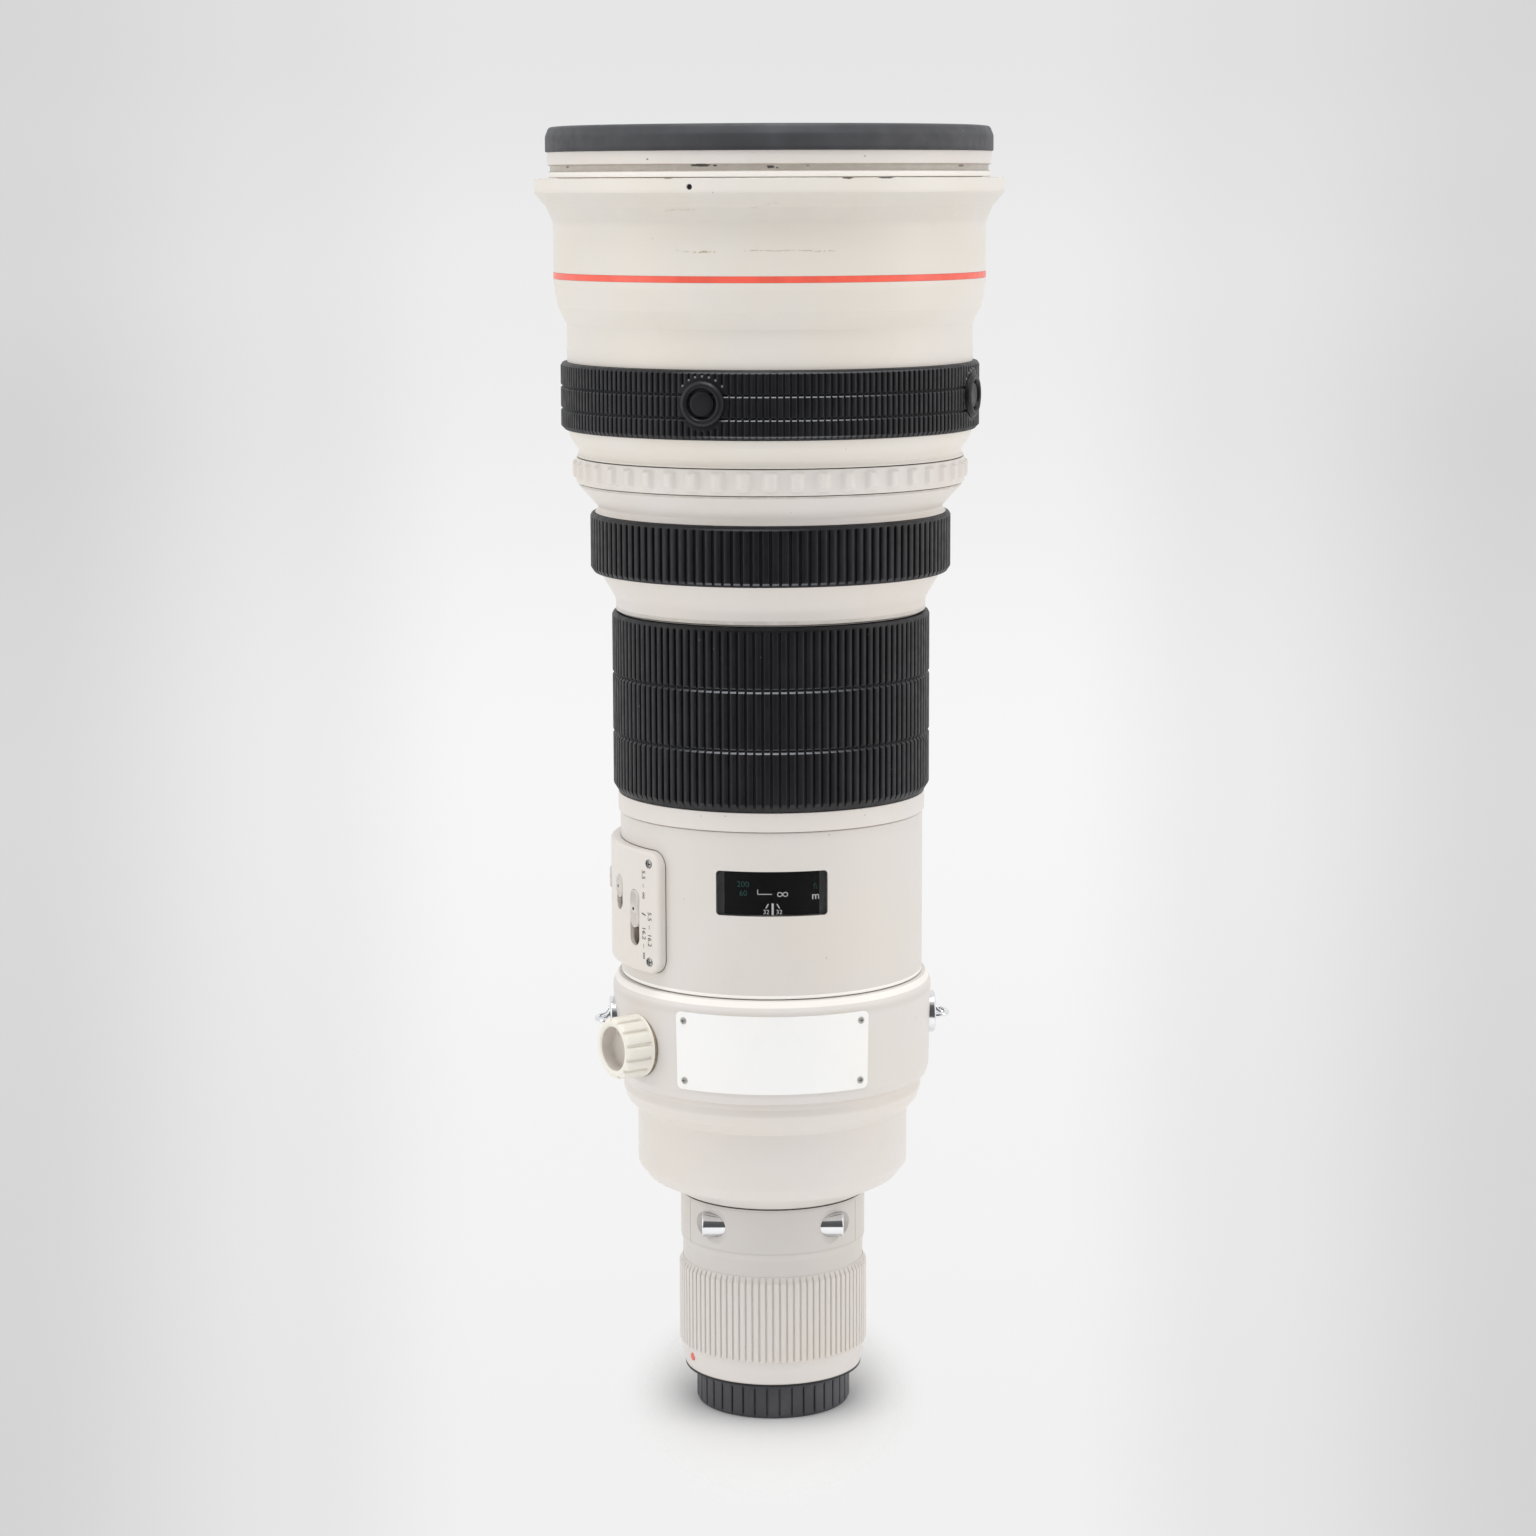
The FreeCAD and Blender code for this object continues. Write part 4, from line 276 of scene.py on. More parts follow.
class Look(Nodes):
    """A material. Positions inside are in millimetres."""

    def __init__(self, name, **values):
        self.material = bpy.data.materials.new(name)
        self.material.use_nodes = True
        super().__init__(self.material.node_tree)
        self.shader = self.tree.nodes["Principled BSDF"]
        for key, value in values.items():
            self.shader.inputs[key.replace("_", " ")].default_value = value
        scale = self.new("VectorMath")
        scale.operation = "SCALE"
        scale.inputs["Scale"].default_value = 1 / MM
        self.feed(scale.inputs[0], self.new("TexCoord").outputs["Object"])
        self.here = scale.outputs["Vector"]
        split = self.new("SeparateXYZ")
        self.feed(split.inputs[0], self.here)
        self.x, self.y, self.z = split.outputs
        self.turn = None

    def ramp(self, value, low, high, start=0, end=1):
        """A value carried smoothly from low..high to start..end."""
        node = self.new("MapRange")
        node.interpolation_type = "SMOOTHSTEP"
        for place, given in enumerate((value, low, high, start, end)):
            self.feed(node.inputs[place], given)
        return node.outputs[0]

    def noise(self, scale, detail=3, stretch=(1, 1, 1), rough=0.5):
        node = self.new("TexNoise")
        where = self.here
        if stretch != (1, 1, 1):
            squeeze = self.new("VectorMath")
            squeeze.operation = "MULTIPLY"
            self.feed(squeeze.inputs[0], self.here)
            squeeze.inputs[1].default_value = stretch
            where = squeeze.outputs[0]
        self.feed(node.inputs["Vector"], where)
        node.inputs["Scale"].default_value = scale
        node.inputs["Detail"].default_value = detail
        node.inputs["Roughness"].default_value = rough
        return node.outputs["Fac"]

    def speckled(self, colour, scale, spread, low, strength, tint):
        """A colour with round specks near the centres of cells, where a noise is high."""
        node = self.new("TexVoronoi")
        self.feed(node.inputs["Vector"], self.here)
        node.inputs["Scale"].default_value = scale
        near = self.ramp(node.outputs["Distance"], SPECK_SIZE, SPECK_SIZE * 0.6)
        held = self.ramp(self.noise(spread), low, 0.6)
        return self.mixed(self.times(near, held, strength), colour, tint)

    def azimuth(self):
        """The azimuth in degrees: 0 faces -Y and 90 faces +X."""
        if self.turn is None:
            back = self.times(self.y, -1)
            self.turn = self.times(self.math("ARCTAN2", self.x, back), 180 / pi)
        return self.turn

    def band(self, value, low, high, soft):
        """1 between low and high, fading to 0 over soft."""
        away = self.math("ABSOLUTE", self.math("SUBTRACT", value, (low + high) / 2))
        half = (high - low) / 2
        return self.ramp(away, half + soft, half)

    def hypot(self, first, second):
        squares = self.math("ADD", self.times(first, first), self.times(second, second))
        return self.math("SQRT", squares)

    def reach(self):
        """The distance from the lens's axis."""
        return self.hypot(self.x, self.y)

    def colour(self, value, marks=()):
        """The base colour, with marks over it. A mark is a function that gives a mask and a tint."""
        for mark, *values in marks:
            mask, tint = mark(self, *values)
            value = self.mixed(mask, value, tint)
        self.feed(self.shader.inputs["Base Color"], value)

    def rough(self, low, high, scale):
        self.feed(self.shader.inputs["Roughness"], self.ramp(self.noise(scale), 0.3, 0.7, low, high))

    def finish(self, low, high, scale, grain, depth):
        """Gives the material its roughness and a grain of a depth in millimetres, and hands it over."""
        self.rough(low, high, scale)
        node = self.new("Bump")
        node.inputs["Strength"].default_value = 1
        node.inputs["Distance"].default_value = depth * MM
        self.feed(node.inputs["Height"], self.noise(grain, 2))
        self.feed(self.shader.inputs["Normal"], node.outputs["Normal"])
        return self.material


SPECK_SIZE = 0.055
PAINT = (0.705, 0.668, 0.638)
# The warm white darkened, as painted shade for the neck near the floor.
PAINT_SHADED = (0.6, 0.572, 0.545)
GRIME = (0.2, 0.165, 0.12)
SCRATCH = (0.36, 0.29, 0.17)
CHIP = (0.045, 0.04, 0.036)
SPECK = (0.1, 0.085, 0.07)
# pale grey of the painted highlights on the rubber ribs
RIB_HIGHLIGHT = (0.34, 0.35, 0.38)
RIM = 83.5


def paint_look(name, base, marks=()):
    """Warm white enamel: slow colour drift, smudges, a few specks, marks of wear, painted highlights and
    painted shade, and a fine grain.
    """
    look = Look(name, Specular_IOR_Level=0.42)
    drift = look.ramp(look.noise(0.018, 2), 0.35, 0.65)
    warm = tuple(value * share for value, share in zip(base, (1, 0.985, 0.955)))
    colour = look.mixed(drift, base, warm)
    smudge = look.ramp(look.noise(0.09, 5, (1, 1, 0.6), 0.65), 0.55, 0.8, 0, 0.1)
    colour = look.mixed(smudge, colour, tuple(value * 0.72 for value in base))
    look.colour(look.speckled(colour, 0.16, 0.05, 0.55, 0.55, GRIME), marks)
    return look.finish(0.36, 0.48, 0.6, 1.4, 0.012)


def each(mark, *rows):
    return [(mark, *row) for row in rows]


def grime_ring(look, low, high, soft, strength, patch=0.35):
    """Dirt that gathers between two heights, thick in some places and thin in others."""
    held = look.band(look.z, low, high, soft)
    patchy = look.ramp(look.noise(0.22, 5, (1, 1, 2.5), 0.7), 0.5 - patch, 0.72, 0.15, 1)
    return look.times(held, patchy, strength), GRIME


def shade_band(look, low, high, soft, strength, tint):
    """An even tint between two heights, used for painted highlights and painted shade on the barrels, and for
    a few plain colour bands.
    """
    return look.times(look.band(look.z, low, high, soft), strength), tint


def chip(look, azimuth, height, half_turn, half_height, strength=0.9, tint=CHIP):
    """One ragged dark chip, where paint has come off. Its half width is in degrees."""
    across = look.math("DIVIDE", look.math("SUBTRACT", look.azimuth(), azimuth), half_turn)
    along = look.math("DIVIDE", look.math("SUBTRACT", look.z, height), half_height)
    ragged = look.times(look.noise(0.9, 4, (1, 1, 1.6), 0.65), 1.3)
    away = look.math("ADD", look.hypot(across, along), ragged)
    return look.times(look.ramp(away, 1.75, 1.45), strength), tint


def painted_rib_highlights(look, low, high, inner, first, last, strength=0.75, edge=2):
    """Painted highlights on the ribs between two heights, outside a radius and between two azimuths: pale
    dashes that stand in for light caught by the ribs' edges.
    """
    wall = look.band(look.z, low, high, 0.2)
    lands = look.ramp(look.reach(), inner - 0.08, inner + 0.08)
    rising = look.ramp(look.azimuth(), first, first + edge)
    falling = look.ramp(look.azimuth(), last, last - (last - first) * 0.5)
    span = look.math("MAXIMUM", look.times(rising, falling), 0.1)
    return look.times(wall, lands, span, strength), RIB_HIGHLIGHT


def outside(look, radius, mark, *values):
    """Another mark, only beyond a radius."""
    mask, tint = mark(look, *values)
    return look.times(mask, look.ramp(look.reach(), radius - 0.1, radius + 0.1)), tint


def scratch(look, height, first, last, width, strength, slope=0):
    """One thin wavering scratch round the barrel between two azimuths."""
    wave = look.times(look.math("SUBTRACT", look.noise(0.09, 2), 0.5), 3.2)
    tilt = look.times(look.azimuth(), slope)
    level = look.math("SUBTRACT", look.math("SUBTRACT", look.z, wave), tilt)
    line = look.band(level, height - width / 2, height + width / 2, width)
    span = look.band(look.azimuth(), first, last, 1.2)
    broken = look.ramp(look.noise(0.8, 3), 0.38, 0.55)
    return look.times(line, span, broken, strength), SCRATCH


def rubber_look(name, base, low_rough, high_rough, dust=0.3, marks=()):
    """Black moulded rubber: slight bloom, dust specks, marks of painted highlight and painted shade, and a
    fine grain.
    """
    look = Look(name, Specular_IOR_Level=0.4)
    bloom = look.ramp(look.noise(0.06, 4), 0.4, 0.75)
    pale = tuple(min(1, value * 1.7 + 0.004) for value in base)
    colour = look.mixed(look.times(bloom, 0.5), base, pale)
    look.colour(look.speckled(colour, 0.2, 0.11, 0.53, dust, (0.42, 0.42, 0.42)), marks)
    return look.finish(low_rough, high_rough, 0.25, 2.6, 0.02)


def plain_look(name, base, roughness, metallic=0, grain=1.5, depth=0.006, drift=0.06, **values):
    """A plain moulded or machined finish with slow colour drift and fine grain."""
    look = Look(name, Metallic=metallic, **values)
    darker = tuple(value * (1 - drift * 2) for value in base)
    look.colour(look.mixed(look.ramp(look.noise(0.15, 3), 0.3, 0.7), base, darker))
    return look.finish(max(0.03, roughness * 0.85), roughness * 1.15, 0.5, grain, depth)


def glass_look(name, tint, roughness, **values):
    look = Look(name, Transmission_Weight=1, IOR=1.5, **values)
    look.colour(look.mixed(look.ramp(look.noise(0.02), 0.3, 0.7), tint, tuple(v * 0.97 for v in tint)))
    look.rough(roughness * 0.6, roughness * 1.4, 0.3)
    return look.material


paint = paint_look("paint_warm_white", PAINT)
# The main barrel's lowest band is painted paler: a painted highlight on its rounded lower edge.
paint_main = paint_look("paint_main_barrel", (0.672, 0.642, 0.612), [
    (shade_band, 164.1, 165.5, 0.25, 0.85, (0.96, 0.94, 0.9))])
# The collar carries a painted highlight on its top edge and a painted shade band below its shoulder.
paint_collar = paint_look("paint_collar", (0.68, 0.652, 0.632), each(
    shade_band, (158.4, 159.6, 1.8, 0.22, (0.52, 0.47, 0.42)),
    (161.9, 163.5, 0.5, 0.75, (0.92, 0.885, 0.83))))
paint_front = paint_look("paint_front_barrel", (0.735, 0.697, 0.648), (
    *each(outside, (RIM, grime_ring, 452.1, 452.6, 0.2, 0.5, 0.2), (RIM, chip, 18.3, 452.2, 1.4, 0.45),
          (RIM, chip, 27.9, 452.2, 2, 0.4), (RIM, chip, -24, 452.2, 1.2, 0.3, 0.6)),
    # Painted highlight on the flange face, and painted shade on the flare beneath it.
    (shade_band, 447.7, 451.6, 0.3, 0.1, (0.82, 0.8, 0.75)),
    (shade_band, 438, 446, 3, 0.22, (0.5, 0.48, 0.45)), (grime_ring, 438.5, 446.5, 2.5, 0.05),
    *each(scratch, (427.4, -18.5, -14.5, 0.36, 0.75), (427, -24, -17.5, 0.22, 0.4, -0.03),
          (427.9, -5.6, 16, 0.2, 0.5, -0.035), (444, -26, -19, 0.25, 0.25, 0.12),
          (443, -4, 1.5, 0.2, 0.25, 0.2))))
paint_hood = paint_look("paint_hood_seat", PAINT, (
    # Painted highlight on the lip above the flange, and painted shade in the groove above it, with patchy
    # grime over the shade.
    (shade_band, 452.7, 454.2, 0.15, 0.85, (0.9, 0.885, 0.85)),
    (shade_band, 454.7, 456.9, 0.2, 0.55, (0.42, 0.385, 0.33)), (grime_ring, 454.5, 457, 0.3, 0.28),
    *each(chip, (-17.1, 456.5, 2.6, 0.5), (-13.6, 456.4, 0.5, 0.3), (0.2, 455.9, 1, 0.5),
          (1.9, 455.6, 0.35, 0.3, 0.8), (9.5, 456.3, 0.4, 0.25, 0.6), (-31.5, 458.6, 0.35, 0.3, 0.8, SPECK),
          (24, 459.4, 0.3, 0.25, 0.6, SPECK), (58, 456.2, 1.6, 0.4, 0.7), (-64, 456.2, 1, 0.4, 0.7),
          (133, 456.3, 2.2, 0.5, 0.8), (-121, 456, 1.4, 0.5, 0.8))))
paint_mid = paint_look("paint_mid_barrel", PAINT, each(
    grime_ring, (297.5, 299.2, 0.5, 0.3), (343.3, 344.2, 0.3, 0.35)))
paint_rear = paint_look("paint_rear_barrel", PAINT)
# Painted shade: the neck and filter holder take the darkened white, and the foot band the full white.
paint_neck = paint_look("paint_neck", PAINT_SHADED, each(
    shade_band, (15, 23.4, 0.3, 1, PAINT), (64.2, 64.6, 0.15, 0.15, (0.3, 0.28, 0.25))))
paint_sleeve = paint_look("paint_sleeve", tuple(value * 0.94 for value in PAINT))
paint_plate = paint_look("paint_nameplate", (0.86, 0.86, 0.86))
red_paint = plain_look("red_enamel", (0.93, 0.125, 0.08), 0.35)
red_dot = plain_look("red_dot", (0.78, 0.17, 0.14), 0.35)
GRIP = (0.005, 0.005, 0.0072)
# The rubber rings carry painted highlights on the walls and edges of their ribs, on the side facing the
# camera.
stop_black = rubber_look("rubber_stop_ring", GRIP, 0.42, 0.56, marks=each(
    painted_rib_highlights, (378.3, 378.75, 75, -14, 42), (370.3, 370.75, 75, -14, 38),
    (364.6, 364.95, 74.6, -24, 40, 0.3, 12), (386.4, 386.7, 73.5, -30, 70, 0.22, 12)))
grip_black = rubber_look("rubber_grip", GRIP, 0.42, 0.56, marks=each(
    painted_rib_highlights, (312.9, 313.4, 64.55, -34, 36, 0.34, 20), (331.9, 332.3, 64.9, -30, 20, 0.2, 20)))
focus_black = rubber_look("rubber_focus_ring", GRIP, 0.42, 0.56, marks=each(
    painted_rib_highlights, (252.7, 253.2, 57, -40, 42, 0.75, 24), (274.2, 274.7, 57, -40, 44, 0.75, 24),
    (254, 254.3, 57.2, -40, 42, 0.16, 24), (275.5, 275.8, 57.2, -40, 44, 0.16, 24)))
# The rim rubber is darker towards its bottom: painted shade.
rim_black = rubber_look("rubber_rim", (0.047, 0.048, 0.054), 0.5, 0.62, 0.5, [
    (shade_band, 460, 462.2, 1.2, 0.35, (0.022, 0.022, 0.024))])
button_black = rubber_look("button_black", (0.008, 0.008, 0.01), 0.38, 0.5)
cap_black = rubber_look("cap_plastic", (0.052, 0.052, 0.06), 0.4, 0.52, 0.15)
# Dark olive of the painted shadow line under the rear barrel.
shadow_line_olive = plain_look("shadow_line_olive", (0.055, 0.05, 0.032), 0.7)
# The stop buttons' raised dots are pale grey: a painted highlight on real dots.
dot_highlight_grey = plain_look("dot_highlight_grey", (0.17, 0.17, 0.175), 0.45)
inside_black = plain_look("inside_black", (0.012, 0.012, 0.013), 0.65)
drum_black = plain_look("drum_black", (0.0022, 0.0022, 0.0024), 0.9, Specular_IOR_Level=0.1)
strip_grey = plain_look("window_strip", (0.125, 0.125, 0.13), 0.6)
slot_brown = plain_look("slot_brown", (0.4, 0.31, 0.24), 0.7)
chrome = plain_look("chrome", (0.78, 0.79, 0.81), 0.1, 1, 0.9, 0.001, 0.02)
satin_steel = plain_look("satin_steel", (0.5, 0.49, 0.48), 0.32, 1)
alloy = plain_look("inner_alloy", (0.6, 0.61, 0.63), 0.35, 1)
gold = plain_look("gold_contacts", (0.83, 0.6, 0.22), 0.22, 1)
board_green = plain_look("circuit_board", (0.02, 0.12, 0.05), 0.4)
knob_white = paint_look("knob_plastic", (0.8, 0.775, 0.715))
knob_hollow = plain_look("knob_hollow", (0.6, 0.555, 0.5), 0.5)
knob_grime = plain_look("knob_grime", (0.46, 0.37, 0.25), 0.6, drift=0.3)
seam_dark = plain_look("seam_dark", (0.09, 0.08, 0.07), 0.7)
screw_bright = plain_look("screw_bright", (0.46, 0.45, 0.43), 0.42, 0.35)
switch_white = plain_look("switch_plastic", (0.63, 0.59, 0.55), 0.45)
front_coating = glass_look("front_coating", (0.9, 0.93, 0.95), 0.02, Coat_Weight=0.4,
                           Coat_Tint=(0.74, 0.7, 0.88, 1))
clear_glass = glass_look("clear_glass", (0.95, 0.96, 0.97), 0.02)
pane_glass = glass_look("pane_glass", (0.93, 0.93, 0.94), 0.03)
# The white print glows faintly: painted light that keeps the print bright.
print_white_glow = plain_look("print_white_glow", (0.95, 0.95, 0.93), 0.5, Emission_Color=(1, 1, 0.97, 1),
                         Emission_Strength=0.3)
print_green = plain_look("print_green", (0.05, 0.3, 0.23), 0.5)
print_grey = plain_look("print_grey", (0.06, 0.055, 0.05), 0.55)

NODE_LOOKS = (
    (paint_collar, "collar_ring"), (paint_main, "main_barrel"), (paint_neck, "neck_barrel filter_holder"),
    (paint, "tripod_foot switch_panel"), (chrome, "filter_button_left filter_button_right mount_ring"),
    (pane_glass, "window_pane"), (drum_black, "scale_drum"), (front_coating, "front_glass"),
    (clear_glass, "front_lens rear_lens filter_glass focus_lens stabiliser_lens"),
    (inside_black, "focus_cell iris_unit stabiliser_unit stabiliser_carriage contact_block flange_screws"),
    (button_black, "mount_gasket"), (satin_steel, "mount_screws rollers"), (gold, "contact_pins clamp_shoe"),
    (alloy, "inner_tube roller_ring motor_stator motor_rotor"), (board_green, "main_board"),
    (switch_white, "set_button"), (paint_plate, "nameplate"), (red_dot, "index_dot"),
)


# Front of the lens
FLANGE_HOLE = -18.8
FLANGE_LOW = 447.3
FLANGE_RADIUS = 84


def set_screw_holes(azimuths, height=449.3, size=0.95, depth=1.6):
    """A relief that sinks small round holes into the front flange."""
    def relief(across, up, angle, share):
        if across < FLANGE_RADIUS - 0.1 or abs(up - height) > size + 0.2:
            return across
        for azimuth in azimuths:
            away = hypot(turn_from(azimuth, angle) * across, up - height)
            if away < size + 0.1:
                return across - depth * (1 - smooth_step(size - 0.12, size + 0.08, away))
        return across
    return relief


def build_front():
    spun("rim_bumper", rim_black, "front_bumper", [
        (75.4, 461.5), (79.9, 461.5, 0.4), (79.9, 467, 3), (78.6, 470.2, 1.6), (75.6, 470.5, 0.6),
        (75, 469.8), (75, 463.5), (73.6, 462.5), (73.6, 458.7), (75.4, 458.7)], slot="bumper_rubber")
    spun("hood_seat_ring", paint_hood, "hood_seat", [
        (72.8, 446.5), (76, 446.5), (76, 452.5), (79, 452.5, 0.4), (79, 454.4, 0.4),
        (78.2, 454.8), (78.2, 456.6), (79.2, 457, 0.35), (79.2, 461.5), (75.4, 461.5),
        (75.4, 454.4), (72.8, 454.4)])
    holes = [FLANGE_HOLE + 120 * k for k in range(3)]
    columns = [(FULL * i / RING_COLUMNS, 0) for i in range(RING_COLUMNS)]
    for azimuth in holes:
        columns += [(radians(azimuth + 0.06 * k) % FULL, 0) for k in range(-16, 17)]
    barrel = spun("front_barrel_skin", [paint_front, inside_black], "front_barrel", [
        (66.44, 353.6), (70, 353.6, 0.35), (68.6, 355.5, 1.5), (72, 360.6, 4), (73, 363.5),
        (72.6, 363.5), (72.6, 387.5), (72.9, 387.5), (72.9, 401, 1), (76, 407.02, 1.2),
        (77.4, 415, 12), (77.4, 417.05, 0.05), (76.9, 417.05, 0), (76.9, 419.35, 0),
        (77.4, 419.35, 0.05), (77.4, 437, 9), (79.8, 442.4, 3), (FLANGE_RADIUS, FLANGE_LOW, 0.35),
        (FLANGE_RADIUS, 452.3, 0.4), (76, 452.3), (76, 446.5), (73.4, 446.5), (73.4, 424.6),
        (70.8, 424.6), (70.8, 406.6), (70.1, 400), (70.1, 365.5), (66.44, 362)],
        steps=8, columns=sorted(columns), relief=set_screw_holes(holes),
        rows=(FLANGE_LOW + 1, 451.2, 0.1))
    inner_faces(barrel, 75.9)
    spun("red_line_band", red_paint, "red_line", [
        (76.8, 417.1), (77.45, 417.1, 0.1), (77.45, 419.3, 0.1), (76.8, 419.3)], slot="red_enamel")


# Rubber rings
BUTTON_AZIMUTHS = (-18, 72, 162, 252)
BUTTON_HEIGHT = 376.1
STOP_RADIUS = 75.3
FOCUS_RADIUS = 57.7
GRIP_RADIUS = 65.2
RECALL_RADIUS = 70


def vee(radius, height, depth, half):
    """The corners of a groove of triangular section round a ring."""
    return [(radius, height - half, 0.15), (radius - depth, height, 0.08), (radius, height + half, 0.15)]


def build_rubber():
    spared = [(azimuth, BUTTON_HEIGHT, 9.6) for azimuth in BUTTON_AZIMUTHS]
    spun("stop_ring_rubber", stop_black, "stop_rubber", [
        (72.62, 363.5), (74, 363.5, 0.3), (STOP_RADIUS, 364.9, 0.3), *vee(STOP_RADIUS, 371, 0.75, 0.7),
        *vee(STOP_RADIUS, 379, 0.75, 0.7), (STOP_RADIUS, 386.2, 0.4), (74.6, 387.3, 0.3), (72.62, 387.5)],
        columns=rib_columns(200, 0.34, 0.08), relief=grooves(STOP_RADIUS, 0.6, 364.2, 386.7, 0.5, spared),
        rows=(364.9, 386.6, 0.45), slot="grip_rubber")
    for i, azimuth in enumerate(BUTTON_AZIMUTHS):
        build_stop_button(i + 1, azimuth)
    spun("grip_ring_rubber", grip_black, "grip_rubber", [
        (62.02, 312), (64, 312, 0.3), (GRIP_RADIUS, 313.8, 0.8), (GRIP_RADIUS, 332.2, 0.5),
        (64.6, 333.2, 0.5), (62.02, 333.4)],
        columns=rib_columns(120, 0.34, 0.09),
        relief=grooves(GRIP_RADIUS, 0.9, 312.4, 332.2, 0.7), rows=(312.6, 332.4, 1), slot="grip_rubber")
    spun("focus_ring_rubber", focus_black, "focus_rubber", [
        (55.12, 231.5), (55.7, 231.5, 0.2), (FOCUS_RADIUS, 234.7, 1), *vee(FOCUS_RADIUS, 253.5, 1, 1),
        *vee(FOCUS_RADIUS, 275, 1, 1), (FOCUS_RADIUS, 296.2, 0.5), (57.2, 297.2, 0.4), (55.12, 297.5)],
        columns=rib_columns(120, 0.32, 0.09), relief=grooves(FOCUS_RADIUS, 0.9, 232.4, 296, 0.7),
        rows=(232, 296.4, 1), body="focus_ring", slot="grip_rubber")


def build_stop_button(number, azimuth):
    """One focus stop button with its raised collar and its arc of dots."""
    base = 72.9
    arc = 9.3
    node = "stop_button_%d" % number
    place = outward(azimuth, base, BUTTON_HEIGHT)
    spun("stop_collar_%d" % number, button_black, None, [
        (5.2, -0.6), (5.2, 2.8, 0.5), (5.6, 3.9, 1), (6.8, 4, 1.2), (7.9, 3, 1.3), (8, 0.2),
        (8, -0.2)], columns=96, soft=0.1, place=place, steps=8, slot="grip_rubber")
    spun("stop_cap_%d" % number, button_black, node, [
        (0, 1.1), (5.1, 1.1), (5.1, 1.9, 0.1), (4.3, 1.9, 0.1), (4.3, 3.1, 0.3), (3.4, 3.2, 0.4),
        (0, 3.25)], columns=96, soft=0, place=place, steps=6, body=node, slot="button_black")
    for k, bearing in enumerate((-50, -31, -15.5, 0, 15.5, 31, 50)):
        along, aside = polar(arc, radians(bearing))
        level = sqrt(STOP_RADIUS ** 2 - aside ** 2) - base
        spun("stop_dot_%d_%d" % (number, k + 1), dot_highlight_grey, None, [
            (0, -0.4), (0.42, -0.4), (0.42, 0.05, 0.1), (0.25, 0.25, 0.1), (0, 0.28)], columns=16, soft=0,
            place=place @ Matrix.Translation(Vector((-along, aside, level)) * MM), slot="grip_rubber")


# Middle and rear of the lens
def build_barrels():
    mid = spun("mid_barrel_skin", [paint_mid, inside_black], "mid_barrel", [
        (50.44, 286), (53.24, 286), (53.24, 298), (56.2, 298, 0.25), (56.2, 302.2, 5),
        (61.5, 311.2, 0.5), (62.3, 312), (62, 312), (62, 333.4), (63.5, 333.4), (62, 335.4, 1.2),
        (67, 341, 4), (69.3, 343.4, 0.3), (69.3, 344), (67.44, 344), (67.44, 353.3),
        (66.44, 353.3), (66.44, 362), (63.64, 362), (63.64, 342.3), (59.2, 334.4), (59.2, 312),
        (57.2, 310), (37.2, 310), (37.2, 305), (50.44, 305)], steps=8)
    inner_faces(mid, 66.3)
    spun("playback_ring_skin", paint, "playback_ring", [
        (67.5, 344.3), (RECALL_RADIUS, 344.3, 0.4), (RECALL_RADIUS, 353.3, 0.4), (67.5, 353.3)], soft=0.1,
        rows=(345, 352.9, 0.3), columns=pad_columns(48, 4.3 / RECALL_RADIUS),
        relief=pads(RECALL_RADIUS, 71.4, 345.55, 352.75, 1.5), body="playback_ring")
    spun("focus_sleeve_skin", paint, "focus_sleeve", [
        (37.26, 224.6), (56, 224.6, 0.4), (56, 231.4, 0.2), (55.1, 231.4), (55.1, 297.7), (53.3, 297.7),
        (53.3, 228), (37.26, 228)], body="focus_ring")
    spun("rear_barrel_skin", paint_rear, "rear_barrel", [
        (32.2, 81.6), (34.6, 81.6, 0.4), (46, 87.5, 2.5), (49.8, 92.4, 2.5), (49.8, 113.1, 1),
        (51, 114.2, 0.5), (53.5, 116.8, 2), (55, 121.1, 2), (54.5, 123.5, 0.5), (54.7, 125.7, 0.2),
        (52, 125.7), (52, 164.3), (51.4, 164.3), (51.4, 172), (48.6, 172), (48.6, 170),
        (37.2, 170), (37.2, 166), (49, 166), (49, 124), (46.8, 124), (46.8, 95),
        (42.8, 95), (33.5, 85), (32.2, 85)], steps=8)
    # A thin dark ring at the rear barrel's lower edge: a painted shadow line where the barrel meets the neck.
    spun("rear_barrel_shadow_line", shadow_line_olive, None, [
        (33.6, 81), (34.5, 81, 0.1), (34.5, 81.62, 0), (33.6, 81.62)])
    spun("ribbed_sleeve_skin", paint_sleeve, "ribbed_sleeve", [
        (33.55, 23.2), (34.7, 23.2, 0.4), (34.9, 24, 0.6), (34.9, 53.2, 0.5), (33.56, 55.6, 0.3),
        (33.55, 55)], columns=rib_columns(86, 0.3, 0.1), relief=sleeve_grooves, rows=(23.4, 55.4, 0.8))
    spun("rear_cap_skin", cap_black, "rear_cap", [
        (0, 0), (28, 0, 0.5), (28.6, 1.4, 0.6), (28.6, 13.5, 0.4), (28.1, 14.2, 0.3), (27.2, 14.2),
        (27.2, 1.8), (0, 1.8)], columns=rib_columns(39, 0.15, 0.05, 0.08), soft=0.1,
        relief=grooves(28.6, 0.9, 0.9, 11.6, 0.8), rows=(1.4, 12.4, 0.7), body="rear_cap", slot="cap_plastic")


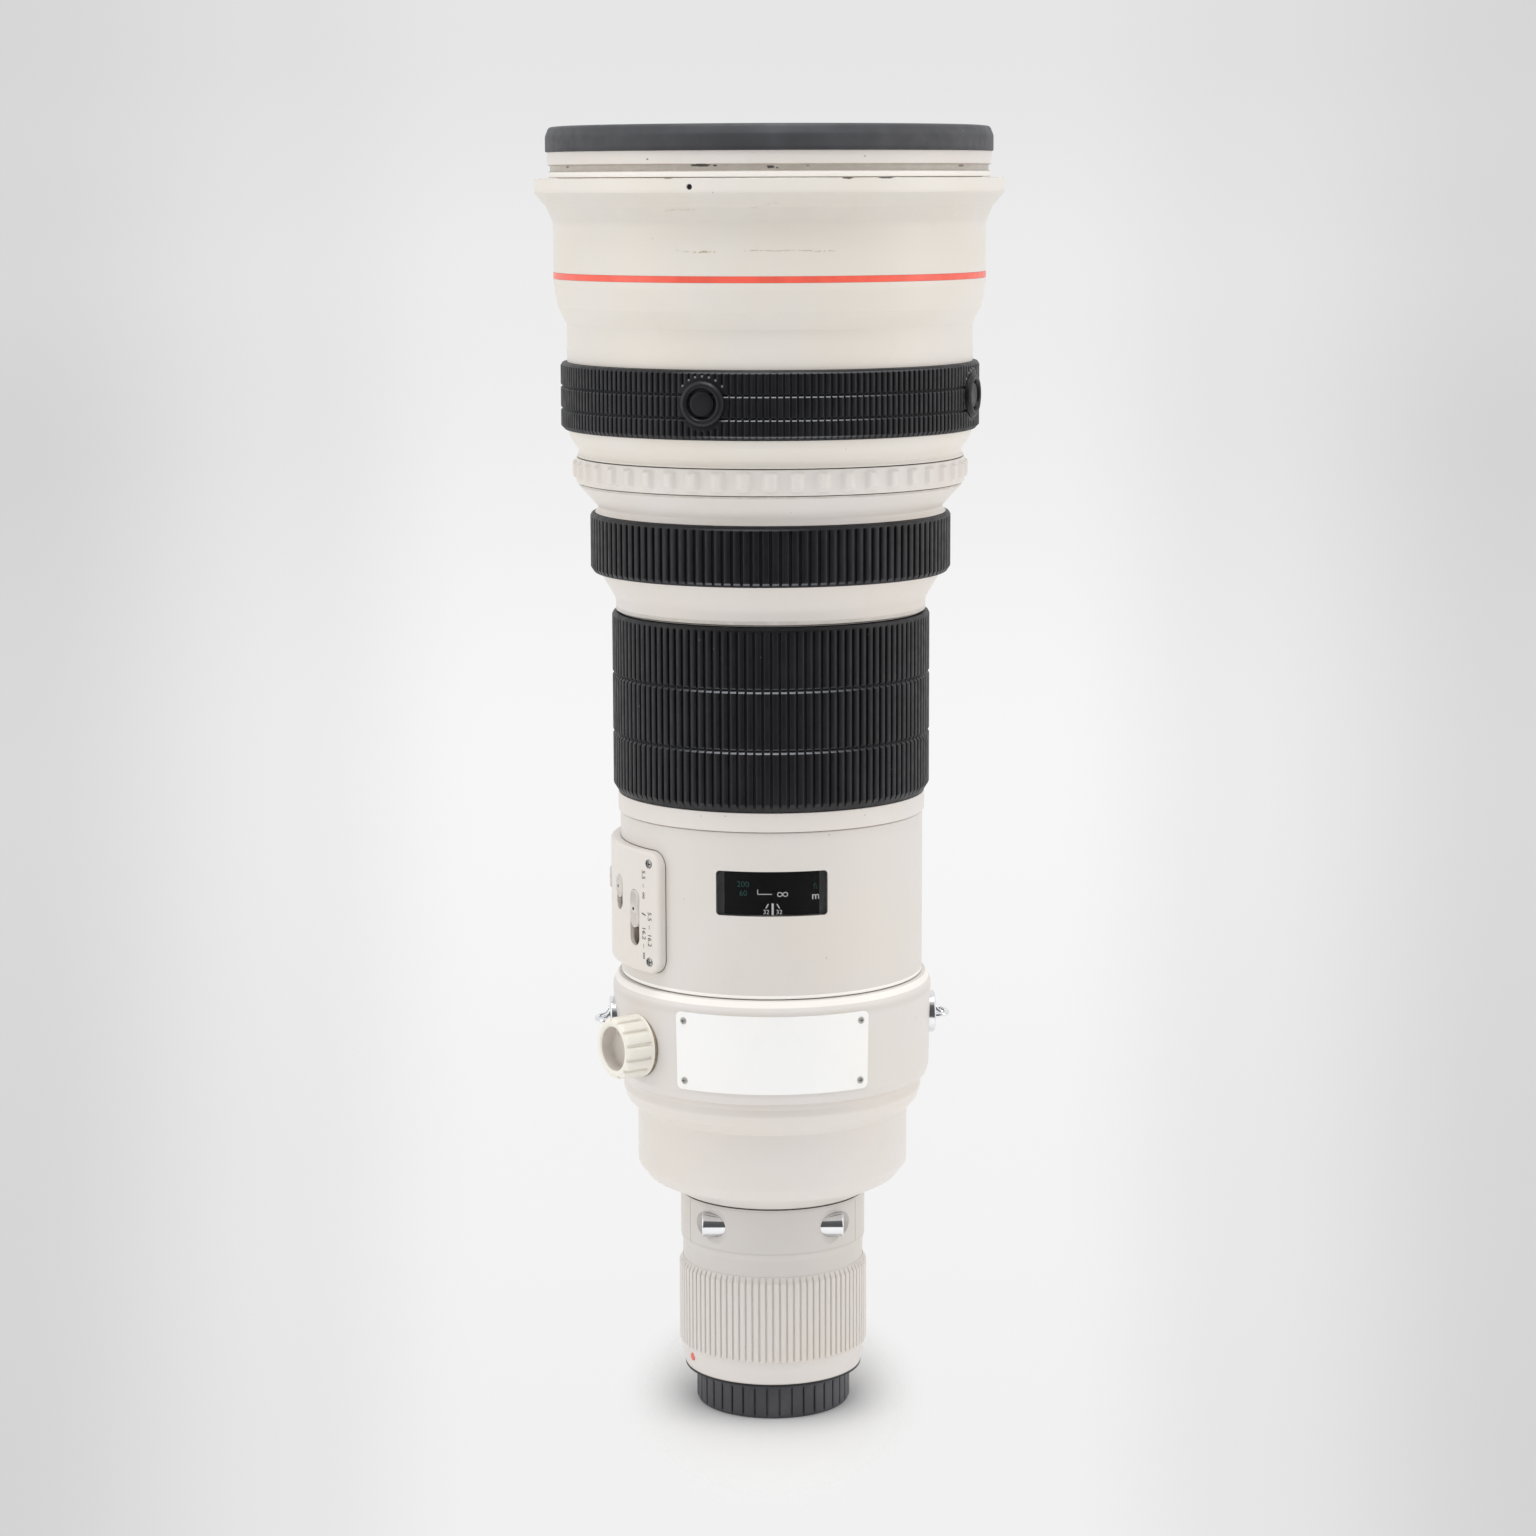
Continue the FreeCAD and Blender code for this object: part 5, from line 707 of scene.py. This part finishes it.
def sleeve_grooves(across, up, angle, share):
    """Grooves that end softly below and run out through the cone at the sleeve's top."""
    floor = 34.15 - 0.55 * smooth_step(52.6, 54.6, up)
    reach = share * smooth_step(23.4, 24.4, up)
    if across < 33.58 or reach <= 0:
        return across
    return across + (min(floor, across) - across) * reach


def pad_columns(count, width):
    """Columns of a ring with raised pads: an angle, and how much of a pad it carries."""
    pitch = FULL / count
    half = width / 2
    slope = ((0.013, 0), (0.003, 0.1), (-0.009, 0.8), (-0.014, 0.94), (-0.02, 1))
    stops = [(-pitch / 2, 0)] + [(-half - beyond, share) for beyond, share in slope]
    stops += [(half + beyond, share) for beyond, share in reversed(slope)]
    return [(i * pitch + turn, share) for i in range(count) for turn, share in stops]


def pads(base, top, low, high, fade):
    def relief(across, up, angle, share):
        if across < base - 0.3:
            return across
        return across + (top - base) * share * between(low, high, fade, up)
    return relief


# Small fittings
PANEL_AZIMUTH = -81.8


def cross_screw(name, radius, place, look, node, body):
    """A screw head with a cross recess, seen end on along its own +Z."""
    rings = [radius * k / 14 for k in range(15)]
    turns = 64
    points = []
    for reach in rings:
        for j in range(turns):
            spot = polar(reach, FULL * j / turns)
            near, far = sorted(abs(value) for value in spot)
            slot_depth = 1 - smooth_step(radius * 0.09, radius * 0.17, near)
            slot_depth *= 1 - smooth_step(radius * 0.52, radius * 0.66, far)
            dome = radius * 0.3 * (1 - (reach / radius) ** 2.6)
            points.append((*spot, dome - slot_depth * radius * 0.55))
    points += [(*polar(radius, FULL * j / turns), -radius * 0.6) for j in range(turns)]
    faces = quads(len(rings) + 1, turns)
    faces.append([len(rings) * turns + j for j in range(turns)])
    dressed(from_lists(name, points, faces, place), look, node, body=body, slot="screw_steel")


def build_rod(name, points, thickness, place, columns=12):
    """A bent chrome rod of the strap lugs, through the given points."""
    line = [Vector(point) for point in points]
    rings = []
    for i, here in enumerate(line):
        ahead = (line[min(i + 1, len(line) - 1)] - line[max(i - 1, 0)]).normalized()
        side = ahead.cross(Vector((0.31, 0.22, 0.92))).normalized()
        other = ahead.cross(side).normalized()
        for j in range(columns):
            along_side, along_other = polar(1, FULL * j / columns)
            rings.append(here + (side * along_side + other * along_other) * thickness / 2)
    faces = quads(len(line), columns)
    faces += [list(range(columns)), [(len(line) - 1) * columns + j for j in range(columns)]]
    dressed(from_lists(name, rings, faces, place), chrome, body="collar", slot="chrome")


def build_lugs():
    """The two strap lugs: a thin round plate with a bent loop and two webs that carry it."""
    for label, azimuth in (("left", -84), ("right", 92)):
        place = outward(azimuth, 58, 147)
        spun("strap_plate_" + label, chrome, "strap_lugs", [
            (0, -0.6), (7.9, -0.6), (7.9, 1.9, 0.5), (7.2, 2.3, 0.4), (3, 2.4), (0, 2.4)],
            columns=72, soft=0.1, place=place, body="collar", slot="chrome")
        loop = []
        for k in range(25):
            swing = pi * k / 24
            loop.append((0.4, -5.4 * cos(swing), 1.6 + 5.2 * sin(swing) ** 0.8))
        build_rod("strap_loop_" + label, loop, 2, place)
        for side in (-1, 1):
            web = [(-5.6 + 5.4 * sin(t), side * (2.2 + 0.8 * t), 1.6 + 3.6 * (1 - cos(t)))
                   for t in (pi / 2 * k / 10 for k in range(11))]
            build_rod("strap_web_%s_%d" % (label, side + 2), web, 1.3, place)


def build_panel_seam():
    """The dark line where the switch panel meets the barrel."""
    radius = 55.36
    corner = 5.5
    half = radians(38.5) * radius - corner
    low = 170.3 + corner
    high = 214.7 - corner
    outline = []
    for across, up, start in ((half, high, 90), (half, low, 0), (-half, low, -90), (-half, high, -180)):
        for k in range(9):
            aside, rise = polar(corner, radians(start - 90 * k / 8))
            outline.append((across + aside, up + rise))
    outline.append(outline[0])
    spots = [(PANEL_AZIMUTH + degrees(across / radius), up) for across, up in outline]
    stroke("panel_seam", spots, 0.55, radius, seam_dark)


def build_screws():
    for i, side in enumerate((-1, 1)):
        for k, (height, radius) in enumerate(((133.6, 58.8), (155.6, 59.3))):
            place = outward(side * 32.4, radius, height)
            cross_screw("plate_screw_head_%d" % (i * 2 + k + 1), 1.3, place, screw_bright, "nameplate_screws",
                        "collar")
        for k, height in enumerate((174.6, 210.4)):
            azimuth = PANEL_AZIMUTH + side * 33.5
            place = outward(azimuth, 58.6, height)
            number = i * 2 + k + 1
            cross_screw("panel_screw_head_%d" % number, 1.35, place, satin_steel, "panel_screws", "barrel")
            spun("panel_screw_ring_%d" % number, inside_black, None, [
                (1.3, -0.3), (1.75, -0.3), (1.75, 0.06, 0.03), (1.3, 0.02)], columns=48, soft=0,
                place=outward(azimuth, 58.85, height), slot="screw_steel")


def build_knob():
    """The collar's clamp knob: thirteen deep flutes, a base flange and a hollow end."""
    place = outward(-56, 57.4, 142.7)
    flange_low, flange_high = -0.1, 1.1
    hollow_low, hollow_radius = 2.5, 8.1
    knob = spun("clamp_knob", [knob_white, knob_hollow, knob_grime], "lock_knob", [
        (0, -4.3), (2.5, -4.3), (2.5, 0), (11.3, 0, 0.3), (11.5, 1, 0.4), (11.2, 1.7, 0.4),
        (11.1, 11.4, 1), (10, 12.2, 0.7), (8.6, 12.2, 0.5), (7.95, 11.5, 0.5), (7.15, 7, 0.8),
        (0, 7)], columns=rib_columns(13, 0.3, 0.1), relief=grooves(11.1, 1.1, 1.8, 12.8, 0.5),
        rows=(1.6, 11.4, 0.6), place=place, body="lock_knob", slot="knob_plastic")
    back = place.inverted()
    for face in knob.data.polygons:
        spot = (back @ face.center) / MM
        if spot.z > hollow_low and hypot(spot.x, spot.y) < hollow_radius:
            face.material_index = 1
        elif flange_low < spot.z < flange_high:
            face.material_index = 2


# Numbers and signs
DRUM_RADIUS = 51.78
MARK_RADIUS = 53.2
INDEX_AZIMUTH = 0.3
UPPER_ROW = 205.2
LOWER_ROW = 202
NEARER = ((-23.5, "100", "30"), (-34, "70", "20"), (-43.5, "50", "15"), (-52, "40", "12"),
          (-59.5, "30", "9"), (-66, "22", "6.5"), (-71.8, "18", "5.5"))


def lettering(name, words, size, azimuth, height, radius, look, body="barrel", bold=0, climbs=False):
    """Generic numbers or signs wrapped on a cylinder about the axis, level or climbing along it."""
    curve = bpy.data.curves.new(name + "_curve", "FONT")
    curve.body = words
    curve.size = size
    curve.align_x = "CENTER"
    curve.align_y = "CENTER"
    curve.resolution_u = 4
    curve.offset = size * bold
    holder = shown_as(name + "_holder", curve)
    bpy.context.view_layer.update()
    mesh = bpy.data.meshes.new_from_object(holder)
    bpy.data.objects.remove(holder)
    for vertex in mesh.vertices:
        across, up = (vertex.co.y, -vertex.co.x) if climbs else (vertex.co.x, vertex.co.y)
        turn = radians(azimuth) + across / radius
        vertex.co = Vector(on_ring(radius, turn, height + up)) * MM
    mesh.name = name
    dressed(shown_as(name, mesh), look, body=body)


def stroke(name, spots, width, radius, look, body="barrel"):
    """A thin printed line through (azimuth, height) spots on a cylinder about the axis."""
    points = []
    faces = []
    for (first, low), (last, high) in zip(spots, spots[1:]):
        start = Vector((radians(first) * radius, low))
        end = Vector((radians(last) * radius, high))
        count = max(1, int((end - start).length / 0.8))
        side = (end - start).normalized().orthogonal() * width / 2
        base = len(points)
        for k in range(count + 1):
            middle = start.lerp(end, k / count)
            points += [on_ring(radius, spot.x / radius, spot.y) for spot in (middle - side, middle + side)]
        faces += [(k, k + 1, k + 3, k + 2) for k in range(base, base + 2 * count, 2)]
    dressed(from_lists(name, points, faces), look, body=body)


def build_scale():
    """The distance scale on its drum, and the index marks on the barrel's side of the window."""
    signs = [("top_a", "200", 3, -11.3, UPPER_ROW, print_green, -0.006),
             ("low_a", "60", 2.9, -11.2, LOWER_ROW, print_green, -0.004),
             ("infinity", "∞", 4.7, 4.2, 201.7, print_white_glow, -0.012),
             ("top_b", "ft", 3.1, 17.3, 204.3, print_green, -0.004),
             ("low_b", "m", 3.8, 17.3, 200.8, print_white_glow, 0.01)]
    for k, (azimuth, top, low) in enumerate(NEARER):
        signs += [("near_top_%d" % (k + 1), top, 3, azimuth, UPPER_ROW, print_green, -0.006),
                  ("near_low_%d" % (k + 1), low, 2.9, azimuth, LOWER_ROW, print_white_glow, -0.006)]
    for label, words, size, azimuth, height, look, bold in signs:
        lettering("scale_" + label, words, size, azimuth, height, DRUM_RADIUS, look, "focus_drive", bold)
    bracket = [(-5.5, 203.5), (-5.5, 201.8), (0.1, 201.8)]
    stroke("scale_bracket", bracket, 0.26, DRUM_RADIUS, print_white_glow, "focus_drive")
    stroke("index_line", [(INDEX_AZIMUTH, 198.8), (INDEX_AZIMUTH, 194.6)], 0.75, MARK_RADIUS, print_white_glow)
    for side, label in ((-1, "left"), (1, "right")):
        azimuth = INDEX_AZIMUTH + side * 2.45
        lettering("depth_number_" + label, "32", 2.3, azimuth, 195.6, MARK_RADIUS, print_white_glow)
        tick = [(INDEX_AZIMUTH + side * 2.6, 197), (INDEX_AZIMUTH + side * 1.6, 198.6)]
        stroke("depth_tick_" + label, tick, 0.36, MARK_RADIUS, print_white_glow)
        strip = [(side * 19.7, 194.4), (side * 19.7, 210.3)]
        stroke("window_strip_" + label, strip, 2.7, MARK_RADIUS - 0.05, strip_grey)


# Switches
SWITCHES = (("range", -57, 179.3, 20.6, 6.6), ("mode", -69.5, 190.4, 12.9, 4.4),
            ("stabiliser", -88, 190.4, 12.9, 4.4))
SLOT_WIDTH = 6.2
SLIDER_HALF = 2.95
SLIDER_GAP = 0.15
PANEL_RADIUS = 58.9
PRINT_RADIUS = PANEL_RADIUS + 0.03
WINDOW_RADIUS = 55.31


def on_cylinder(azimuth, across, up, radius, measured):
    """A point at a distance along the curve, measured at one radius, on a cylinder of another."""
    return on_ring(radius, radians(azimuth) + across / measured, up)


def corner_frame(name, azimuth, width, low, high, corner, inner, outer, look):
    """A thin frame in a rectangular opening, which gives the opening round corners."""
    hole = []
    edge = []
    for side, end, start in ((1, 1, 0), (-1, 1, 90), (-1, -1, 180), (1, -1, 270)):
        middle = side * (width / 2 - corner)
        level = high - corner if end > 0 else low + corner
        for k in range(9):
            swing = radians(start + 90 * k / 8)
            stretch = (corner + 0.05) / max(abs(cos(swing)), abs(sin(swing)))
            for loop, reach in ((hole, corner), (edge, stretch)):
                across, up = polar(reach, swing)
                loop.append((middle + across, level + up))
    points = []
    for loop, radius in ((hole, outer), (edge, outer), (edge, inner), (hole, inner)):
        points += [on_cylinder(azimuth, across, up, radius, outer) for across, up in loop]
    dressed(from_lists(name, points, quads(4, len(hole), rows_close=True)), look)


def slider_top(across, level, low, high):
    """The radius of a slider's face: a soft edge, and ridges along it on both sides of a plain middle."""
    nearest = min(max(level, low + SLIDER_HALF), high - SLIDER_HALF)
    inward = SLIDER_HALF - hypot(across, level - nearest)
    from_middle = abs(level - (low + high) / 2)
    ridged = smooth_step(1.1, 1.5, from_middle) * smooth_step(0.5, 0.9, inward)
    ridge = 0.5 + 0.5 * cos(FULL * across / 1.3)
    return PANEL_RADIUS + 0.1 + 0.45 * smooth_step(0, 0.7, inward) - 0.42 * ridge * ridged


def build_slider(label, azimuth, bottom, length, travel):
    """A round-ended slider with a dark dot, the round ends of its slot and the slot's floor."""
    low = bottom + travel + SLIDER_GAP
    high = bottom + length - SLIDER_GAP
    ends = [polar(SLIDER_HALF, radians(swing)) for swing in (3, 12, 22, 34, 46, 58, 70, 80, 90)]
    middle = steps_between(low + SLIDER_HALF, high - SLIDER_HALF, 0.25)[1:-1]
    rows = [(low + SLIDER_HALF - rise, half) for rise, half in ends]
    rows += [(level, SLIDER_HALF) for level in middle]
    rows += [(high - SLIDER_HALF + rise, half) for rise, half in reversed(ends)]
    columns = 41
    shares = [2 * j / (columns - 1) - 1 for j in range(columns)]
    points = []
    for level, half in rows:
        for share in shares:
            top = slider_top(half * share, level, low, high)
            points.append(on_cylinder(azimuth, half * share, level, top, PANEL_RADIUS))
    faces = quads(len(rows), columns, columns_close=False)
    total = len(points)
    rim = [*range(columns), *range(2 * columns - 1, total - columns, columns),
           *range(total - 1, total - columns - 1, -1), *range(total - 2 * columns, 0, -columns)]
    for k, index in enumerate(rim):
        level, half = rows[index // columns]
        points.append(on_cylinder(azimuth, half * shares[index % columns], level, 55.7, PANEL_RADIUS))
        after = (k + 1) % len(rim)
        faces.append((index, rim[after], total + after, total + k))
    faces.append(tuple(range(total, total + len(rim))))
    body = label + "_slider"
    dressed(from_lists(label + "_slider_cap", points, faces), switch_white, body, body=body,
            slot="switch_plastic")
    spun(label + "_slider_dot", inside_black, None, [(0, -0.2), (0.62, -0.2), (0.62, 0.14, 0.04), (0, 0.14)],
         columns=24, soft=0, place=outward(azimuth, PANEL_RADIUS + 0.45, (low + high) / 2), body=body,
         slot="switch_plastic")
    top = bottom + length
    corner_frame(label + "_slot_ends", azimuth, SLOT_WIDTH, bottom, top, SLOT_WIDTH / 2, 57.4,
                 PANEL_RADIUS + 0.01, paint)
    stroke(label + "_slot_floor", [(azimuth, bottom - 0.5), (azimuth, top + 0.5)], 7.4, 55.5, slot_brown)


def build_switches():
    for switch in SWITCHES:
        build_slider(*switch)
    ranges = (("5.5  –  ∞", -51.3, 202.5), ("16.2  –  ∞", -51.3, 181.2), ("5.5  –  16.2", -48.1, 186.6))
    for k, (words, azimuth, height) in enumerate(ranges):
        lettering("panel_numbers_%d" % (k + 1), words, 2.8, azimuth, height, PRINT_RADIUS, print_grey,
                  bold=0.01, climbs=True)
    stroke("panel_tick", [(-52.4, 192), (-50.2, 191.4)], 0.5, PRINT_RADIUS, print_grey)
    width = radians(42) * WINDOW_RADIUS
    corner_frame("window_corners", 0, width, 194.3, 210.4, 1.4, 54.92, WINDOW_RADIUS, paint_main)


# Studio, with the camera's dip and roll in degrees
CAMERA_SPOT = (-1.2, -1328.7, 451.1)
CAMERA_LENS = 86.06
CAMERA_DIP = 9.08
CAMERA_ROLL = -0.198


def build_studio():
    """Camera, lamps, world and floor."""
    scene = bpy.context.scene
    scene.view_settings.view_transform = "Standard"
    camera_data = bpy.data.cameras.new("camera")
    camera_data.sensor_width = 36
    camera_data.lens = CAMERA_LENS
    camera = shown_as("camera", camera_data)
    pitch = Matrix.Rotation(radians(90 - CAMERA_DIP), 4, "X")
    roll = Matrix.Rotation(radians(CAMERA_ROLL), 4, "Z")
    camera.matrix_world = Matrix.Translation(Vector(CAMERA_SPOT) * MM) @ pitch @ roll
    scene.camera = camera
    add_lamp("lamp_top", (0, -0.3, 1.55), 0.3, 0.6, 0.6, 10)
    add_lamp("lamp_left", (-1.25, -0.35, 0.55), 0.28, 0.5, 1.1, 2.2)
    add_lamp("lamp_right", (1.25, -0.15, 0.55), 0.28, 0.5, 1.1, 2.4, (1, 0.95, 0.92))
    build_world(scene)
    build_floor()


def add_lamp(name, spot, level, width, height, power, colour=(1, 1, 1)):
    """A rectangular lamp that is turned to a level of the lens's axis. Its sizes are in metres."""
    data = bpy.data.lights.new(name, "AREA")
    data.shape = "RECTANGLE"
    data.size = width
    data.size_y = height
    data.energy = power
    data.color = colour
    lamp = shown_as(name, data)
    lamp.location = spot
    lamp.rotation_euler = (Vector((0, 0, level)) - Vector(spot)).to_track_quat("-Z", "Y").to_euler()


def build_world(scene):
    """A light tent: even light, a darker front where the photographer stands, and a pale backdrop."""
    world = bpy.data.worlds.new("tent")
    scene.world = world
    world.use_nodes = True
    tent = Nodes(world.node_tree)
    tent.tree.nodes.clear()
    split = tent.new("SeparateXYZ")
    tent.feed(split.inputs[0], tent.new("TexCoord").outputs["Generated"])
    along_x, along_y, along_z = split.outputs
    across = tent.grey_ramp(tent.math("ABSOLUTE", along_x), (0, 0.93), (0.075, 0.93), (0.126, 0.84),
                            (0.2, 0.7), (0.24, 0.69), (0.45, 0.9), (1, 0.93))
    height = tent.math("ADD", along_z, 0.5)
    upright = tent.grey_ramp(height, (0, 0.95), (0.165, 0.945), (0.228, 0.965), (0.342, 1),
                             (0.468, 0.915), (0.537, 0.85), (1, 0.85))
    evenness = tent.grey_ramp(height, (0, 0), (0.42, 0), (0.485, 0.25), (0.52, 0.42), (1, 0.42))
    shown = tent.mixed(1, tent.mixed(evenness, across, (0.93, 0.93, 0.93)), upright, "MULTIPLY")
    front = tent.math("ADD", tent.times(along_y, 0.5), 0.5)
    gloss = tent.grey_ramp(front, (0, 0.1), (0.1, 0.14), (0.25, 0.75), (0.5, 0.95), (1, 0.95))
    light = tent.grey_ramp(front, (0, 0.74), (0.2, 0.8), (0.5, 0.88), (1, 0.92))
    straight, mirrored = tent.rays()
    colour = tent.mixed(straight, tent.mixed(mirrored, light, gloss), shown)
    background = tent.new("Background")
    tent.feed(background.inputs["Color"], colour)
    tent.feed(tent.new("OutputWorld").inputs["Surface"], background.outputs[0])


def build_floor():
    """A pale round floor that fades into the backdrop away from the lens."""
    rings = [0, 30, 60, 120, 250, 600, 2500]
    turns = 64
    points = [(*polar(reach, FULL * j / turns), 0) for reach in rings for j in range(turns)]
    floor = from_lists("floor", points, quads(len(rings), turns))
    look = Look("floor_paper", Roughness=0.9, Specular_IOR_Level=0.1)
    straight, mirrored = look.rays()
    paper = look.mixed(look.ramp(look.noise(0.01), 0.3, 0.7), (0.9, 0.9, 0.9), (0.895, 0.895, 0.895))
    look.colour(look.mixed(straight, paper, (0.71, 0.71, 0.71)))
    squares = look.math("ADD", look.times(look.x, look.x), look.times(look.y, look.y, 0.2))
    shown = look.ramp(look.math("SQRT", squares), 60, 27)
    beyond = look.times(mirrored, look.ramp(look.reach(), 250, 450))
    unseen = look.times(look.math("SUBTRACT", 1, straight), look.math("SUBTRACT", 1, beyond))
    mix = look.new("MixShader")
    look.feed(mix.inputs[0], look.math("MAXIMUM", shown, unseen))
    look.feed(mix.inputs[1], look.new("BsdfTransparent").outputs[0])
    look.feed(mix.inputs[2], look.shader.outputs[0])
    look.feed(look.tree.nodes["Material Output"].inputs["Surface"], mix.outputs[0])
    floor.data.materials.append(look.material)


def dress_nodes():
    """Materials for the CAD nodes that stay."""
    for look, names in NODE_LOOKS:
        for name in names.split():
            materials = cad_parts[name].data.materials
            materials.clear()
            materials.append(look)


build_studio()
dress_nodes()
build_front()
build_rubber()
build_barrels()
build_screws()
build_knob()
build_lugs()
build_panel_seam()
build_scale()
build_switches()
bpy.context.view_layer.update()
